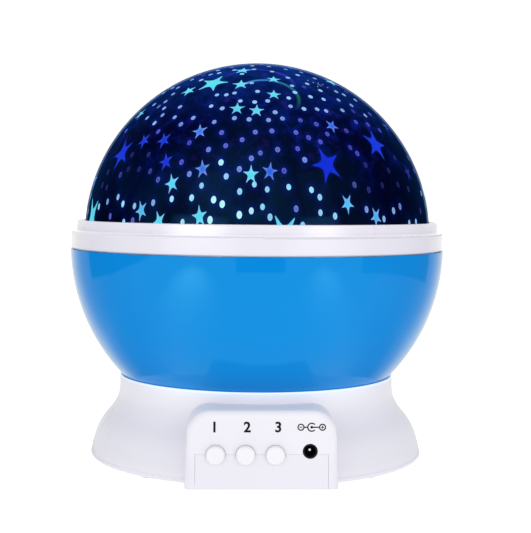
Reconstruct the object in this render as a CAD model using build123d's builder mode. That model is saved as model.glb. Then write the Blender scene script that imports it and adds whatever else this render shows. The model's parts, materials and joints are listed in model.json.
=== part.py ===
from build123d import *
import os
from math import pi, sin, cos, tan, acos, sqrt, atan2, degrees, radians

os.makedirs("parts", exist_ok=True)

# ---------------------------------------------------------------------------
# Star night light projector.  Millimetres, +Z up.  Origin: on the lamp's
# vertical axis, at the surface the rubber feet stand on.  The control panel
# faces -Y.
# ---------------------------------------------------------------------------

# levels
foot_h = 1.5                  # rubber feet
rim_z = foot_h                # underside of the base
plate_t = 2.0                 # bottom cover
plate_top = rim_z + plate_t
deck_lo, deck_hi = 16.0, 17.6  # gear deck inside the base
neck_top = 29.7               # top of the base's neck

# base
wall = 1.8
base_profile = [              # outer radius of the flared base, height
    (58.15, 3.2), (57.5, 6.5), (56.2, 10.5), (53.85, 14.5),
    (50.8, 18.3), (48.83, 22.3), (48.35, 26.0),
]
neck_r = 48.35
neck_in_r = 46.56
plate_r = 56.0

# control panel
panel_y = -61.2               # front face at the underside
panel_lean = 2.0              # degrees, leaning back
panel_w_low, panel_w_top = 48.2, 46.2
panel_top = 26.0
panel_corner_r = 7.4
panel_in_y = -58.9
tab_half_w = 20.7
tab_gap = 0.07
tab_gap_top = 0.04
part_z = 12.5                 # parting line of panel and front tab
button_x = (-14.4, -5.1, 4.2)
button_z = 12.35
button_r = 3.02
button_hole_r = 3.09
button_travel = 1.0
jack_x, jack_z = 15.0, 13.45
jack_hole_r = 2.35

# globe
bowl_c = 74.9                 # centre height of the bowl's sphere
bowl_rho = 65.6
bowl_wall = 2.0
bowl_floor = 24.0
bowl_top = 73.75
dome_c = 78.1
dome_rho = 60.7
dome_wall = 1.6
rim_r = 65.3
rim_lo, rim_hi = 73.93, 79.85
collar_lo, collar_hi = 79.9, 83.6
collar_r_lo, collar_r_hi = 63.5, 63.2
key_angles = (-90 - 34, -90 + 34, 90 - 34, 90 + 34)

# bearing of the bowl
post_r = 13.0
hub_clear = 0.05
hub_in = post_r + hub_clear
hub_out = 16.0
hub_lo, hub_hi = 22.0, 30.0

# gear train: ring gear 80 teeth, drive gear 12 + 50, idler 10 + 50, motor 10
m_slow, m_fast = 0.8, 0.4
ring_teeth, drive_pinion_teeth = 80, 12
wheel_teeth, pinion_teeth = 50, 10
drive_dist = m_slow * (ring_teeth - drive_pinion_teeth) / 2      # 27.2
fast_dist = m_fast * (wheel_teeth + pinion_teeth) / 2            # 12.0
motor_xy = (24.0, -23.0)
drive_dir = -85.0
drive_xy = (drive_dist * cos(radians(drive_dir)), drive_dist * sin(radians(drive_dir)))
_mx, _my = (motor_xy[0] + drive_xy[0]) / 2, (motor_xy[1] + drive_xy[1]) / 2
_dx, _dy = drive_xy[0] - motor_xy[0], drive_xy[1] - motor_xy[1]
_half = sqrt(_dx * _dx + _dy * _dy) / 2
_rise = sqrt(fast_dist ** 2 - _half ** 2)
idler_xy = (_mx - _dy / (2 * _half) * _rise, _my + _dx / (2 * _half) * _rise)
axle_r = 0.75
motor_r = 12.2
_ux, _uy = (idler_xy[0] - motor_xy[0]) / fast_dist, (idler_xy[1] - motor_xy[1]) / fast_dist
motor_screw_xy = [(motor_xy[0] - 8 * _uy, motor_xy[1] + 8 * _ux),
                  (motor_xy[0] + 8 * _uy, motor_xy[1] - 8 * _ux)]
post_screw_xy = [(9.0, 0), (-9.0, 0), (0, 9.0)]
wire_y = -9.7                 # slot for the lamp's leads, deck and post

# battery compartment: four AAA cells side by side, lying along X
cell_r, cell_len = 5.25, 43.3
cell_z = 9.05
bay_cy = 15.0
cell_ys = (bay_cy - 16.5, bay_cy - 5.5, bay_cy + 5.5, bay_cy + 16.5)
bay_hx, bay_hy = 25.0, 22.25
bay_wall = 1.3
bay_roof_lo, bay_roof_hi = 14.7, 15.7
door_gap = 0.25
hinge_y = bay_cy + bay_hy

# feet and cover screws
foot_xy = [(34.6, 34.6), (-34.6, 34.6), (-34.6, -34.6), (34.6, -34.6)]
foot_r = 5.0
boss_xy = [(49.0 * cos(radians(a)), 49.0 * sin(radians(a))) for a in (15, 165, 200, -20)]
boss_r = 2.9

front = Plane(origin=(0, panel_y, rim_z), x_dir=(1, 0, 0),
              z_dir=(0, -cos(radians(panel_lean)), sin(radians(panel_lean))))


def at_panel(z):
    """Y of the panel's face at height z."""
    return panel_y + (z - rim_z) * tan(radians(panel_lean))


def offset_profile(points, d):
    """Profile points moved inwards by d, square to the curve."""
    out = []
    for i, (r, z) in enumerate(points):
        a = points[max(i - 1, 0)]
        b = points[min(i + 1, len(points) - 1)]
        tx, tz = b[0] - a[0], b[1] - a[1]
        n = sqrt(tx * tx + tz * tz)
        out.append((r - d * tz / n, z + d * tx / n))
    return out


def gear_outline(centre, teeth, module, add, ded, backlash, phase, steps=3):
    """Closed outline of an involute gear about centre; a tooth is centred on phase (degrees).
    A negative backlash gives the wider tooth spaces of an internal gear."""
    rp = module * teeth / 2
    rb = rp * cos(radians(20))
    ra, rf = rp + add, rp - ded
    inv = tan(radians(20)) - radians(20)
    half = (pi * module / 2 - backlash) / (2 * rp)

    def ang(r):
        if r <= rb:
            return half + inv
        a = acos(rb / r)
        return half + inv - (tan(a) - a)

    lo = max(rf, rb)
    radii = [rf] if rf < rb - 0.02 else []
    radii += [lo + (ra - lo) * i / (steps - 1) for i in range(steps)]
    pts = []
    cx, cy = centre
    for t in range(teeth):
        c = radians(phase) + 2 * pi * t / teeth
        for r in radii:
            pts.append((cx + r * cos(c - ang(r)), cy + r * sin(c - ang(r))))
        for r in reversed(radii):
            pts.append((cx + r * cos(c + ang(r)), cy + r * sin(c + ang(r))))
    return pts


def sphere_r(rho, cz, z):
    return sqrt(rho * rho - (z - cz) ** 2)


def along(a, b):
    return degrees(atan2(b[1] - a[1], b[0] - a[0]))


# ---------------------------------------------------------------------------
# Base shell: flared body, neck, gear deck, panel, posts
# ---------------------------------------------------------------------------
inner_profile = offset_profile(base_profile, wall)
inner_low = [p for p in inner_profile if p[1] < deck_lo - 0.6]

with BuildPart() as base_shell:
    with BuildSketch(Plane.XZ):
        with BuildLine():
            p0 = Line((0, rim_z), (57.45, rim_z))
            p1 = TangentArc((57.45, rim_z), base_profile[0], tangent=(1, 0.05))
            p2 = Spline(*base_profile, tangents=[(-0.03, 1), (-0.05, 1)])
            p3 = Line(base_profile[-1], (neck_r, neck_top - 0.35))
            p4 = Line((neck_r, neck_top - 0.35), (neck_r - 0.2, neck_top))
            p5 = Line((neck_r - 0.2, neck_top), (0, neck_top))
            p6 = Line((0, neck_top), (0, rim_z))
        make_face()
    revolve(axis=Axis.Z)
    # control panel block
    with BuildSketch(Plane.XZ.offset(40)) as panel_outline:
        with BuildLine():
            Polyline((-panel_w_low / 2, rim_z), (panel_w_low / 2, rim_z),
                     (panel_w_top / 2, panel_top), (-panel_w_top / 2, panel_top), close=True)
        make_face()
        fillet(panel_outline.vertices().group_by(Axis.Y)[-1], panel_corner_r)
    extrude(amount=23)
    split(bisect_by=front, keep=Keep.BOTTOM)
    face_edges = base_shell.faces().sort_by(Axis.Y)[0].outer_wire().edges()
    fillet([e for e in face_edges if e.center().Z > rim_z + 0.5], 2.2)
    # space above the deck
    with BuildSketch(Plane.XZ):
        with BuildLine():
            up = [(49.6, deck_hi), (47.7, 20.8), (neck_in_r, 24.6)]
            Polyline((0, deck_hi), up[0], up[1], up[2], (neck_in_r, neck_top - 1.3),
                     (neck_in_r + 1.26, neck_top), (neck_in_r + 1.26, neck_top + 1),
                     (0, neck_top + 1), close=True)
        make_face()
    revolve(axis=Axis.Z, mode=Mode.SUBTRACT)
    # space below the deck
    with BuildSketch(Plane.XZ):
        with BuildLine():
            q0 = Polyline((0, deck_lo), (0, rim_z - 1), (56.25, rim_z - 1), (56.25, 3.4),
                          *[p for p in inner_low if p[1] > 3.6],
                          (50.9, deck_lo), close=True)
        make_face()
    revolve(axis=Axis.Z, mode=Mode.SUBTRACT)
    # inside of the panel, below and above the deck's level
    with BuildSketch(Plane.XZ.offset(40)) as panel_low:
        with BuildLine():
            Polyline((-21.4, rim_z - 1), (21.4, rim_z - 1), (21.1, deck_lo), (-21.1, deck_lo), close=True)
        make_face()
    extrude(amount=-panel_in_y - 40, mode=Mode.SUBTRACT)
    with BuildSketch(Plane.XZ.offset(50.2)) as panel_high:
        with BuildLine():
            Polyline((-21.1, deck_lo - 0.5), (21.1, deck_lo - 0.5), (20.6, panel_top - 1.8),
                     (-20.6, panel_top - 1.8), close=True)
        make_face()
        fillet(panel_high.vertices().group_by(Axis.Y)[-1], 3.4)
    extrude(amount=-panel_in_y - 50.2, mode=Mode.SUBTRACT)
    # opening for the bottom cover's front tab
    with BuildSketch(Plane.XZ.offset(58.0)):
        with Locations((0, (part_z + tab_gap_top + rim_z - 1) / 2)):
            Rectangle(2 * (tab_half_w + tab_gap), part_z + tab_gap_top - rim_z + 1)
    extrude(amount=6, mode=Mode.SUBTRACT)
    # button and jack holes
    with BuildSketch(Plane.XZ.offset(58.0)):
        with Locations(*[(x, button_z) for x in button_x]):
            Circle(button_hole_r)
        with Locations((jack_x, jack_z)):
            Circle(jack_hole_r)
    extrude(amount=6, mode=Mode.SUBTRACT)
    # bearing boss and post seat on the deck
    with BuildSketch(Plane.XY.offset(deck_hi - 0.4)):
        Circle(hub_out)
        Circle(post_r + 0.1, mode=Mode.SUBTRACT)
    extrude(amount=21.2 - deck_hi + 0.4)
    with BuildSketch(Plane.XY.offset(deck_hi - 0.4)):
        Circle(post_r + 0.3)
    extrude(amount=19.0 - deck_hi + 0.4)
    # screw posts for the bottom cover
    with BuildSketch(Plane.XY.offset(plate_top)):
        with Locations(*boss_xy):
            Circle(boss_r)
    extrude(amount=deck_lo - plate_top + 0.4)
    with BuildSketch(Plane.XY.offset(plate_top)):
        with Locations(*boss_xy):
            Circle(1.07)
    extrude(amount=10, mode=Mode.SUBTRACT)
    # posts for the main board
    with BuildSketch(Plane.XZ.offset(53.2)):
        with Locations((-17.6, 19.3), (17.6, 19.3)):
            Circle(2.1)
    extrude(amount=6.6)
    with BuildSketch(Plane.XZ.offset(53.2)):
        with Locations((-17.6, 19.3), (17.6, 19.3)):
            Circle(0.82)
    extrude(amount=4.6, mode=Mode.SUBTRACT)
    # holes in the deck: post screws, wires, motor boss, motor screws, axles
    with BuildSketch(Plane.XY.offset(deck_lo - 0.5)):
        with Locations(*post_screw_xy):
            Circle(1.3)
        with Locations((0, wire_y)):
            Rectangle(7.2, 1.9)
        with Locations(motor_xy):
            Circle(3.2)
        with Locations(*motor_screw_xy):
            Circle(0.9)
    extrude(amount=6, mode=Mode.SUBTRACT)
    with BuildSketch(Plane.XY.offset(deck_lo - 0.5)):
        with Locations(*post_screw_xy):
            Circle(2.3)
    extrude(amount=2.1, mode=Mode.SUBTRACT)
    # boss under the deck for the drive gear's axle, and a hole for the idler's
    with BuildSketch(Plane.XY.offset(12.6)):
        with Locations(drive_xy):
            Circle(2.4)
    extrude(amount=deck_lo - 12.6 + 0.3)
    with BuildSketch(Plane.XY.offset(13.2)):
        with Locations(drive_xy):
            Circle(axle_r)
    extrude(amount=8, mode=Mode.SUBTRACT)
    with BuildSketch(Plane.XY.offset(deck_lo - 0.5)):
        with Locations(idler_xy):
            Circle(axle_r)
    extrude(amount=4, mode=Mode.SUBTRACT)
base_shell.part.label = "base_shell"


# ---------------------------------------------------------------------------
# Bottom cover: plate, front tab, battery compartment with its door opening
# ---------------------------------------------------------------------------
bay_y0, bay_y1 = bay_cy - bay_hy, bay_cy + bay_hy

with BuildPart() as base_bottom:
    with BuildSketch(Plane.XY.offset(rim_z)):
        Circle(plate_r)
        with Locations((0, -56)):
            Rectangle(2 * tab_half_w, 12)
    extrude(amount=plate_t)
    # upright front tab, its face flush with the panel
    with BuildSketch(Plane.XZ.offset(58.95)):
        with Locations((0, (part_z + rim_z) / 2)):
            Rectangle(2 * tab_half_w, part_z - rim_z)
    extrude(amount=4)
    split(bisect_by=front, keep=Keep.BOTTOM)
    # compartment walls and roof
    with BuildSketch(Plane.XY.offset(rim_z)):
        with Locations((0, bay_cy)):
            Rectangle(2 * (bay_hx + bay_wall), 2 * (bay_hy + bay_wall))
    extrude(amount=bay_roof_hi - rim_z)
    with BuildSketch(Plane.XY.offset(rim_z - 1)):
        with Locations((0, bay_cy)):
            Rectangle(2 * bay_hx, 2 * bay_hy)
    extrude(amount=bay_roof_lo - rim_z + 1, mode=Mode.SUBTRACT)
    # ribs between the cells, hanging from the roof
    with BuildSketch(Plane.XY.offset(11.9)):
        with Locations(*[(0, bay_cy + k * 11.0) for k in (-1, 0, 1)]):
            Rectangle(34, 0.8)
    extrude(amount=bay_roof_lo - 11.9 + 0.2)
    # notch for the door's latch finger, slots for its hinge tongues
    with BuildSketch(Plane.XY.offset(rim_z - 1)):
        with Locations((0, bay_y0 - 2.4)):
            Rectangle(2 * (6 + door_gap), 5.6)
    extrude(amount=plate_t + 1, mode=Mode.SUBTRACT)
    with BuildSketch(Plane.XY.offset(plate_top)):
        with Locations((-15, bay_y1 + 1.5), (15, bay_y1 + 1.5)):
            Rectangle(9.4, 3.4)
    extrude(amount=2.7, mode=Mode.SUBTRACT)
    # half holes of the buttons and the socket
    with BuildSketch(Plane.XZ.offset(58.0)):
        with Locations(*[(x, button_z) for x in button_x]):
            Circle(button_hole_r)
        with Locations((jack_x, jack_z)):
            Circle(jack_hole_r)
    extrude(amount=6, mode=Mode.SUBTRACT)
    # holes for the cover screws, heads recessed
    with BuildSketch(Plane.XY.offset(rim_z - 1)):
        with Locations(*boss_xy):
            Circle(1.35)
    extrude(amount=6, mode=Mode.SUBTRACT)
    with BuildSketch(Plane.XY.offset(rim_z - 1)):
        with Locations(*boss_xy):
            Circle(2.3)
    extrude(amount=1 + 1.1, mode=Mode.SUBTRACT)
base_bottom.part.label = "base_bottom"

with BuildPart() as battery_door:
    with BuildSketch(Plane.XY.offset(rim_z)):
        with Locations((0, bay_cy)):
            Rectangle(2 * (bay_hx - door_gap), 2 * (bay_hy - door_gap))
        with Locations((0, bay_y0 - 2.2)):
            Rectangle(12, 5)
        # slots beside the springy latch finger
        with Locations((-6.6, bay_y0 + 3.2), (6.6, bay_y0 + 3.2)):
            Rectangle(1.2, 6.2, mode=Mode.SUBTRACT)
    extrude(amount=plate_t)
    # hinge tongues: arcs about the hinge axis, hooked over the cover's edge
    def on_hinge(r, y=None, a=None):
        t = radians(a) if a is not None else acos((y - hinge_y) / r)
        return (hinge_y + r * cos(t), rim_z + r * sin(t))

    tip_a, in_r, out_r = 56.0, 2.6, 3.7
    for sx in (-15, 15):
        with BuildSketch(Plane.YZ.offset(sx - 4)):
            with BuildLine():
                ia, ib = on_hinge(in_r, y=bay_y1 - 0.3), on_hinge(in_r, a=tip_a)
                oa, ob = on_hinge(out_r, a=tip_a), on_hinge(out_r, y=bay_y1 - 1.3)
                Polyline(ob, (bay_y1 - 1.3, plate_top - 0.2), (bay_y1 - 0.3, plate_top - 0.2), ia)
                ThreePointArc(ia, on_hinge(in_r, a=76), ib)
                Line(ib, oa)
                ThreePointArc(oa, on_hinge(out_r, a=84), ob)
            make_face()
        extrude(amount=8)
    # grip ridges and a shallow thumb recess
    with BuildSketch(Plane.XY.offset(rim_z)):
        with Locations((0, bay_y0 + 3.0)):
            Rectangle(9, 7)
    extrude(amount=0.6, mode=Mode.SUBTRACT)
    with BuildSketch(Plane.XY.offset(rim_z + 0.15)):
        with Locations(*[(0, bay_y0 + 0.6 + 1.6 * k) for k in range(4)]):
            Rectangle(8, 0.6)
    extrude(amount=0.6)
battery_door.part.label = "battery_door"

with BuildPart() as feet:
    with BuildSketch(Plane.XY):
        with Locations(*foot_xy):
            Circle(foot_r)
    extrude(amount=foot_h)
    chamfer(feet.edges().filter_by(GeomType.CIRCLE).group_by(Axis.Z)[0], 0.4)
feet.part.label = "feet"

with BuildPart() as base_screws:
    with BuildSketch(Plane.XY.offset(rim_z + 0.1)):
        with Locations(*boss_xy):
            Circle(2.15)
    extrude(amount=1.0)
    with BuildSketch(Plane.XY.offset(rim_z + 1.1)):
        with Locations(*boss_xy):
            Circle(1.05)
    extrude(amount=9.5)
    with BuildSketch(Plane.XY.offset(rim_z + 0.1)):
        with Locations(*boss_xy):
            Rectangle(2.2, 0.55)
            Rectangle(0.55, 2.2)
    extrude(amount=0.7, mode=Mode.SUBTRACT)
base_screws.part.label = "base_screws"

# ---------------------------------------------------------------------------
# Cells, contacts and springs
# ---------------------------------------------------------------------------
cell_dirs = (1, -1, 1, -1)      # the button end's side along X

with BuildPart() as battery_cells:
    for y, d in zip(cell_ys, cell_dirs):
        with BuildSketch(Plane.YZ.offset(-19.9 if d > 0 else -23.4)):
            with Locations((y, cell_z)):
                Circle(cell_r)
        extrude(amount=cell_len)
        with BuildSketch(Plane.YZ.offset(23.4 * d)):
            with Locations((y, cell_z)):
                Circle(1.9)
        extrude(amount=1.2 * d)
battery_cells.part.label = "battery_cells"

with BuildPart() as battery_contacts:
    with BuildSketch(Plane.YZ.offset(24.6)):
        with Locations((bay_cy - 11, cell_z), (bay_cy + 11, cell_z)):
            Rectangle(19.5, 8.6)
    extrude(amount=0.4)
    with BuildSketch(Plane.YZ.offset(-25.0)):
        with Locations((bay_cy, cell_z)):
            Rectangle(19.5, 8.6)
        with Locations((bay_cy - 16.5, cell_z), (bay_cy + 16.5, cell_z)):
            Rectangle(8.6, 8.6)
    extrude(amount=0.4)
battery_contacts.part.label = "battery_contacts"

with BuildPart() as battery_springs:
    for y, d in zip(cell_ys, cell_dirs):
        start = (-20.25 * d, y, cell_z)
        with BuildLine() as coil:
            Helix(pitch=1.0, height=4.0, radius=2.7, center=start, direction=(-d, 0, 0))
        with BuildSketch(Plane(origin=coil.line @ 0, z_dir=coil.line % 0)):
            Circle(0.3)
        sweep(path=coil.line, is_frenet=True)
battery_springs.part.label = "battery_springs"

# ---------------------------------------------------------------------------
# Control board, switches, buttons and the inlet
# ---------------------------------------------------------------------------
board_front, board_back = -53.2, -51.6
switch_front = -56.5

with BuildPart() as main_board:
    with BuildSketch(Plane.XZ.offset(-board_back)):
        with Locations((0, 13.0)):
            Rectangle(39.6, 17.0)
        with Locations((jack_x, 13.3)):
            Rectangle(7.8, 5.8, mode=Mode.SUBTRACT)
        with Locations((-17.6, 19.3), (17.6, 19.3)):
            Circle(0.95, mode=Mode.SUBTRACT)
    extrude(amount=board_back - board_front)
main_board.part.label = "main_board"

with BuildPart() as board_screws:
    with BuildSketch(Plane.XZ.offset(-board_back)):
        with Locations((-17.6, 19.3), (17.6, 19.3)):
            Circle(0.8)
    extrude(amount=5.6)
    with BuildSketch(Plane.XZ.offset(-board_back)):
        with Locations((-17.6, 19.3), (17.6, 19.3)):
            Circle(1.7)
    extrude(amount=-1.0)
    with BuildSketch(Plane.XZ.offset(-board_back - 0.4)):
        with Locations((-17.6, 19.3), (17.6, 19.3)):
            Rectangle(1.8, 0.45)
            Rectangle(0.45, 1.8)
    extrude(amount=-1.0, mode=Mode.SUBTRACT)
board_screws.part.label = "board_screws"

with BuildPart() as board_parts:
    with BuildSketch(Plane.XZ.offset(-board_back)):
        with Locations((-9.0, 12.5)):
            Rectangle(6.2, 4.2)
        with Locations((-15.5, 14.5), (-15.5, 11.5), (7.5, 14.0)):
            Rectangle(3.0, 1.5)
    extrude(amount=-1.3)
    with BuildSketch(Plane.XZ.offset(-board_back)):
        with Locations((8.0, 8.0)):
            Circle(2.5)
    extrude(amount=-6.5)
board_parts.part.label = "board_parts"

with BuildPart() as switch_bodies:
    with BuildSketch(Plane.XZ.offset(-board_front)):
        with Locations(*[(x, button_z) for x in button_x]):
            RectangleRounded(6.0, 6.0, 0.5)
    extrude(amount=board_front - switch_front)
    with BuildSketch(Plane.XZ.offset(-switch_front)):
        with Locations(*[(x, button_z) for x in button_x]):
            Circle(1.8)
    extrude(amount=-2.1, mode=Mode.SUBTRACT)
switch_bodies.part.label = "switch_bodies"

buttons, plungers = [], []
for i, bx in enumerate(button_x):
    with BuildPart() as cap:
        with BuildSketch(Plane.XZ.offset(57.85)):
            with Locations((bx, button_z)):
                Circle(3.9)
        extrude(amount=0.9)
        with BuildSketch(Plane.XZ.offset(58.3)):
            with Locations((bx, button_z)):
                Circle(button_r)
        extrude(amount=-at_panel(button_z) + 1.5 - 58.3)
        fillet(cap.faces().sort_by(Axis.Y)[0].edges(), 0.95)
    cap.part.label = "button_cap_%d" % (i + 1)
    buttons.append(cap)
    with BuildPart() as plunger:
        with BuildSketch(Plane.XZ.offset(55.6)):
            with Locations((bx, button_z)):
                Circle(1.7)
        extrude(amount=57.85 - 55.6)
    plunger.part.label = "switch_plunger_%d" % (i + 1)
    plungers.append(plunger)

with BuildPart() as dc_jack:
    with BuildSketch(Plane.XZ.offset(49.0)):
        with Locations((jack_x, 13.3)):
            Rectangle(7.5, 5.4)
    extrude(amount=58.6 - 49.0)
    with BuildSketch(Plane.XZ.offset(58.6)):
        with Locations((jack_x, jack_z)):
            Circle(2.25)
    extrude(amount=60.75 - 58.6)
    with BuildSketch(Plane.XZ.offset(50.4)):
        with Locations((jack_x, jack_z)):
            Circle(1.8)
            Circle(0.68, mode=Mode.SUBTRACT)
    extrude(amount=12, mode=Mode.SUBTRACT)
    with BuildSketch(Plane.XZ.offset(50.4)):
        with Locations((jack_x, jack_z)):
            Circle(0.8)
    extrude(amount=12, mode=Mode.SUBTRACT)
dc_jack.part.label = "dc_jack"

with BuildPart() as dc_jack_pin:
    with BuildSketch(Plane.XZ.offset(50.4)):
        with Locations((jack_x, jack_z)):
            Circle(0.66)
    extrude(amount=58.4 - 50.4)
    fillet(dc_jack_pin.faces().sort_by(Axis.Y)[0].edges(), 0.4)
dc_jack_pin.part.label = "dc_jack_pin"

# ---------------------------------------------------------------------------
# Motor and gear train
# ---------------------------------------------------------------------------
mx, my = motor_xy

with BuildPart() as motor_can:
    with BuildSketch(Plane.XY.offset(6.0)):
        with Locations(motor_xy):
            Circle(motor_r)
    extrude(amount=9.9)
    fillet(motor_can.edges().group_by(Axis.Z)[-1], 0.8)
    with BuildSketch(Plane.XY.offset(15.0)):
        with Locations(motor_xy):
            Circle(3.0)
    extrude(amount=1.9)
    with BuildSketch(Plane.XY.offset(5.0)):
        with Locations(motor_xy):
            Circle(motor_r - 0.8)
    extrude(amount=10.1, mode=Mode.SUBTRACT)
    with BuildSketch(Plane.XY.offset(14.0)):
        with Locations(motor_xy):
            Circle(axle_r + 0.05)
        with Locations(*motor_screw_xy):
            Circle(0.72)
    extrude(amount=4, mode=Mode.SUBTRACT)
motor_can.part.label = "motor_can"

with BuildPart() as motor_end_cap:
    with BuildSketch(Plane.XY.offset(3.9)):
        with Locations(motor_xy):
            Circle(motor_r - 0.2)
    extrude(amount=2.1)
    with BuildSketch(Plane.XY.offset(6.0)):
        with Locations(motor_xy):
            Circle(3.0)
    extrude(amount=0.8)
    with BuildSketch(Plane.XY.offset(4.4)):
        with Locations(motor_xy):
            Circle(axle_r + 0.05)
    extrude(amount=4, mode=Mode.SUBTRACT)
motor_end_cap.part.label = "motor_end_cap"

with BuildPart() as motor_magnets:
    with BuildSketch(Plane.XY.offset(7.2)):
        with Locations(motor_xy):
            Circle(motor_r - 0.85)
            Circle(motor_r - 2.6, mode=Mode.SUBTRACT)
            Rectangle(30, 7, mode=Mode.SUBTRACT)
    extrude(amount=6.8)
motor_magnets.part.label = "motor_magnets"

with BuildPart() as motor_rotor:
    with BuildSketch(Plane.XY.offset(7.4)):
        with Locations(motor_xy):
            Circle(9.2)
        with Locations(motor_xy):
            with PolarLocations(7.3, 3, start_angle=30):
                Circle(2.5, mode=Mode.SUBTRACT)
        with Locations(motor_xy):
            Circle(axle_r, mode=Mode.SUBTRACT)
    extrude(amount=6.2)
motor_rotor.part.label = "motor_rotor"

with BuildPart() as motor_shaft:
    with BuildSketch(Plane.XY.offset(4.5)):
        with Locations(motor_xy):
            Circle(axle_r)
    extrude(amount=15.0)
    chamfer(motor_shaft.edges().group_by(Axis.Z)[-1], 0.15)
motor_shaft.part.label = "motor_shaft"

# tooth phases: a tooth of one gear stands in a space of the other at rest
dir_drive = degrees(atan2(drive_xy[1], drive_xy[0]))
dir_di = along(drive_xy, idler_xy)
dir_im = along(idler_xy, motor_xy)

with BuildPart() as motor_pinion:
    with BuildSketch(Plane.XY.offset(17.75)):
        with BuildLine():
            Polyline(*gear_outline(motor_xy, pinion_teeth, m_fast, 0.38, 0.52, 0.10, dir_im + 180), close=True)
        make_face()
        with Locations(motor_xy):
            Circle(axle_r, mode=Mode.SUBTRACT)
    extrude(amount=1.55)
motor_pinion.part.label = "motor_pinion"

with BuildPart() as idler_gear:
    with BuildSketch(Plane.XY.offset(18.0)):
        with BuildLine():
            Polyline(*gear_outline(idler_xy, wheel_teeth, m_fast, 0.28, 0.50, 0.10,
                                   dir_im + 180 / wheel_teeth), close=True)
        make_face()
    extrude(amount=1.2)
    with BuildSketch(Plane.XY.offset(19.2)):
        with BuildLine():
            Polyline(*gear_outline(idler_xy, pinion_teeth, m_fast, 0.38, 0.52, 0.10, dir_di + 180), close=True)
        make_face()
    extrude(amount=1.5)
    with BuildSketch(Plane.XY.offset(17.7)):
        with Locations(idler_xy):
            Circle(2.2)
    extrude(amount=0.3)
    with BuildSketch(Plane.XY.offset(17)):
        with Locations(idler_xy):
            Circle(axle_r + 0.04)
    extrude(amount=5, mode=Mode.SUBTRACT)
idler_gear.part.label = "idler_gear"

with BuildPart() as drive_gear:
    with BuildSketch(Plane.XY.offset(19.45)):
        with BuildLine():
            Polyline(*gear_outline(drive_xy, wheel_teeth, m_fast, 0.28, 0.50, 0.10,
                                   dir_di + 180 / wheel_teeth), close=True)
        make_face()
    extrude(amount=1.2)
    with BuildSketch(Plane.XY.offset(20.65)):
        with BuildLine():
            Polyline(*gear_outline(drive_xy, drive_pinion_teeth, m_slow, 0.70, 0.95, 0.16, dir_drive),
                     close=True)
        make_face()
    extrude(amount=2.85)
    with BuildSketch(Plane.XY.offset(17.75)):
        with Locations(drive_xy):
            Circle(1.35)
    extrude(amount=1.7)
    with BuildSketch(Plane.XY.offset(17)):
        with Locations(drive_xy):
            Circle(axle_r + 0.04)
    extrude(amount=8, mode=Mode.SUBTRACT)
drive_gear.part.label = "drive_gear"

with BuildPart() as idler_axle:
    with BuildSketch(Plane.XY.offset(16.05)):
        with Locations(idler_xy):
            Circle(axle_r)
    extrude(amount=4.85)
idler_axle.part.label = "idler_axle"

with BuildPart() as drive_axle:
    with BuildSketch(Plane.XY.offset(13.2)):
        with Locations(drive_xy):
            Circle(axle_r)
    extrude(amount=10.45)
drive_axle.part.label = "drive_axle"

with BuildPart() as motor_screws:
    with BuildSketch(Plane.XY.offset(deck_hi)):
        with Locations(*motor_screw_xy):
            Circle(1.5)
    extrude(amount=0.8)
    with BuildSketch(Plane.XY.offset(14.9)):
        with Locations(*motor_screw_xy):
            Circle(0.7)
    extrude(amount=deck_hi - 14.9)
    with BuildSketch(Plane.XY.offset(deck_hi + 0.4)):
        with Locations(*motor_screw_xy):
            Rectangle(1.7, 0.45)
            Rectangle(0.45, 1.7)
    extrude(amount=1, mode=Mode.SUBTRACT)
motor_screws.part.label = "motor_screws"

with BuildPart() as ring_gear:
    with BuildSketch(Plane.XY.offset(21.2)):
        Circle(35.4)
        with PolarLocations(37.0, 3, start_angle=30):
            Circle(2.9)
        with PolarLocations(37.0, 3, start_angle=30):
            Circle(0.87, mode=Mode.SUBTRACT)
        with BuildLine(mode=Mode.PRIVATE) as teeth:
            Polyline(*gear_outline((0, 0), ring_teeth, m_slow, 0.95, 0.62, -0.16, dir_drive), close=True)
        make_face(teeth.edges(), mode=Mode.SUBTRACT)
    extrude(amount=bowl_floor - 21.2)
ring_gear.part.label = "ring_gear"

with BuildPart() as ring_gear_screws:
    with BuildSketch(Plane.XY.offset(bowl_floor + bowl_wall)):
        with PolarLocations(37.0, 3, start_angle=30):
            Circle(1.8)
    extrude(amount=1.1)
    with BuildSketch(Plane.XY.offset(21.5)):
        with PolarLocations(37.0, 3, start_angle=30):
            Circle(0.85)
    extrude(amount=bowl_floor + bowl_wall - 21.5)
    with BuildSketch(Plane.XY.offset(bowl_floor + bowl_wall + 0.5)):
        with PolarLocations(37.0, 3, start_angle=30):
            Rectangle(2.2, 0.5)
            Rectangle(0.5, 2.2)
    extrude(amount=1, mode=Mode.SUBTRACT)
ring_gear_screws.part.label = "ring_gear_screws"

# ---------------------------------------------------------------------------
# Bowl and its lower ring
# ---------------------------------------------------------------------------
rho_in = bowl_rho - bowl_wall
floor_in = bowl_floor + bowl_wall

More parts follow.
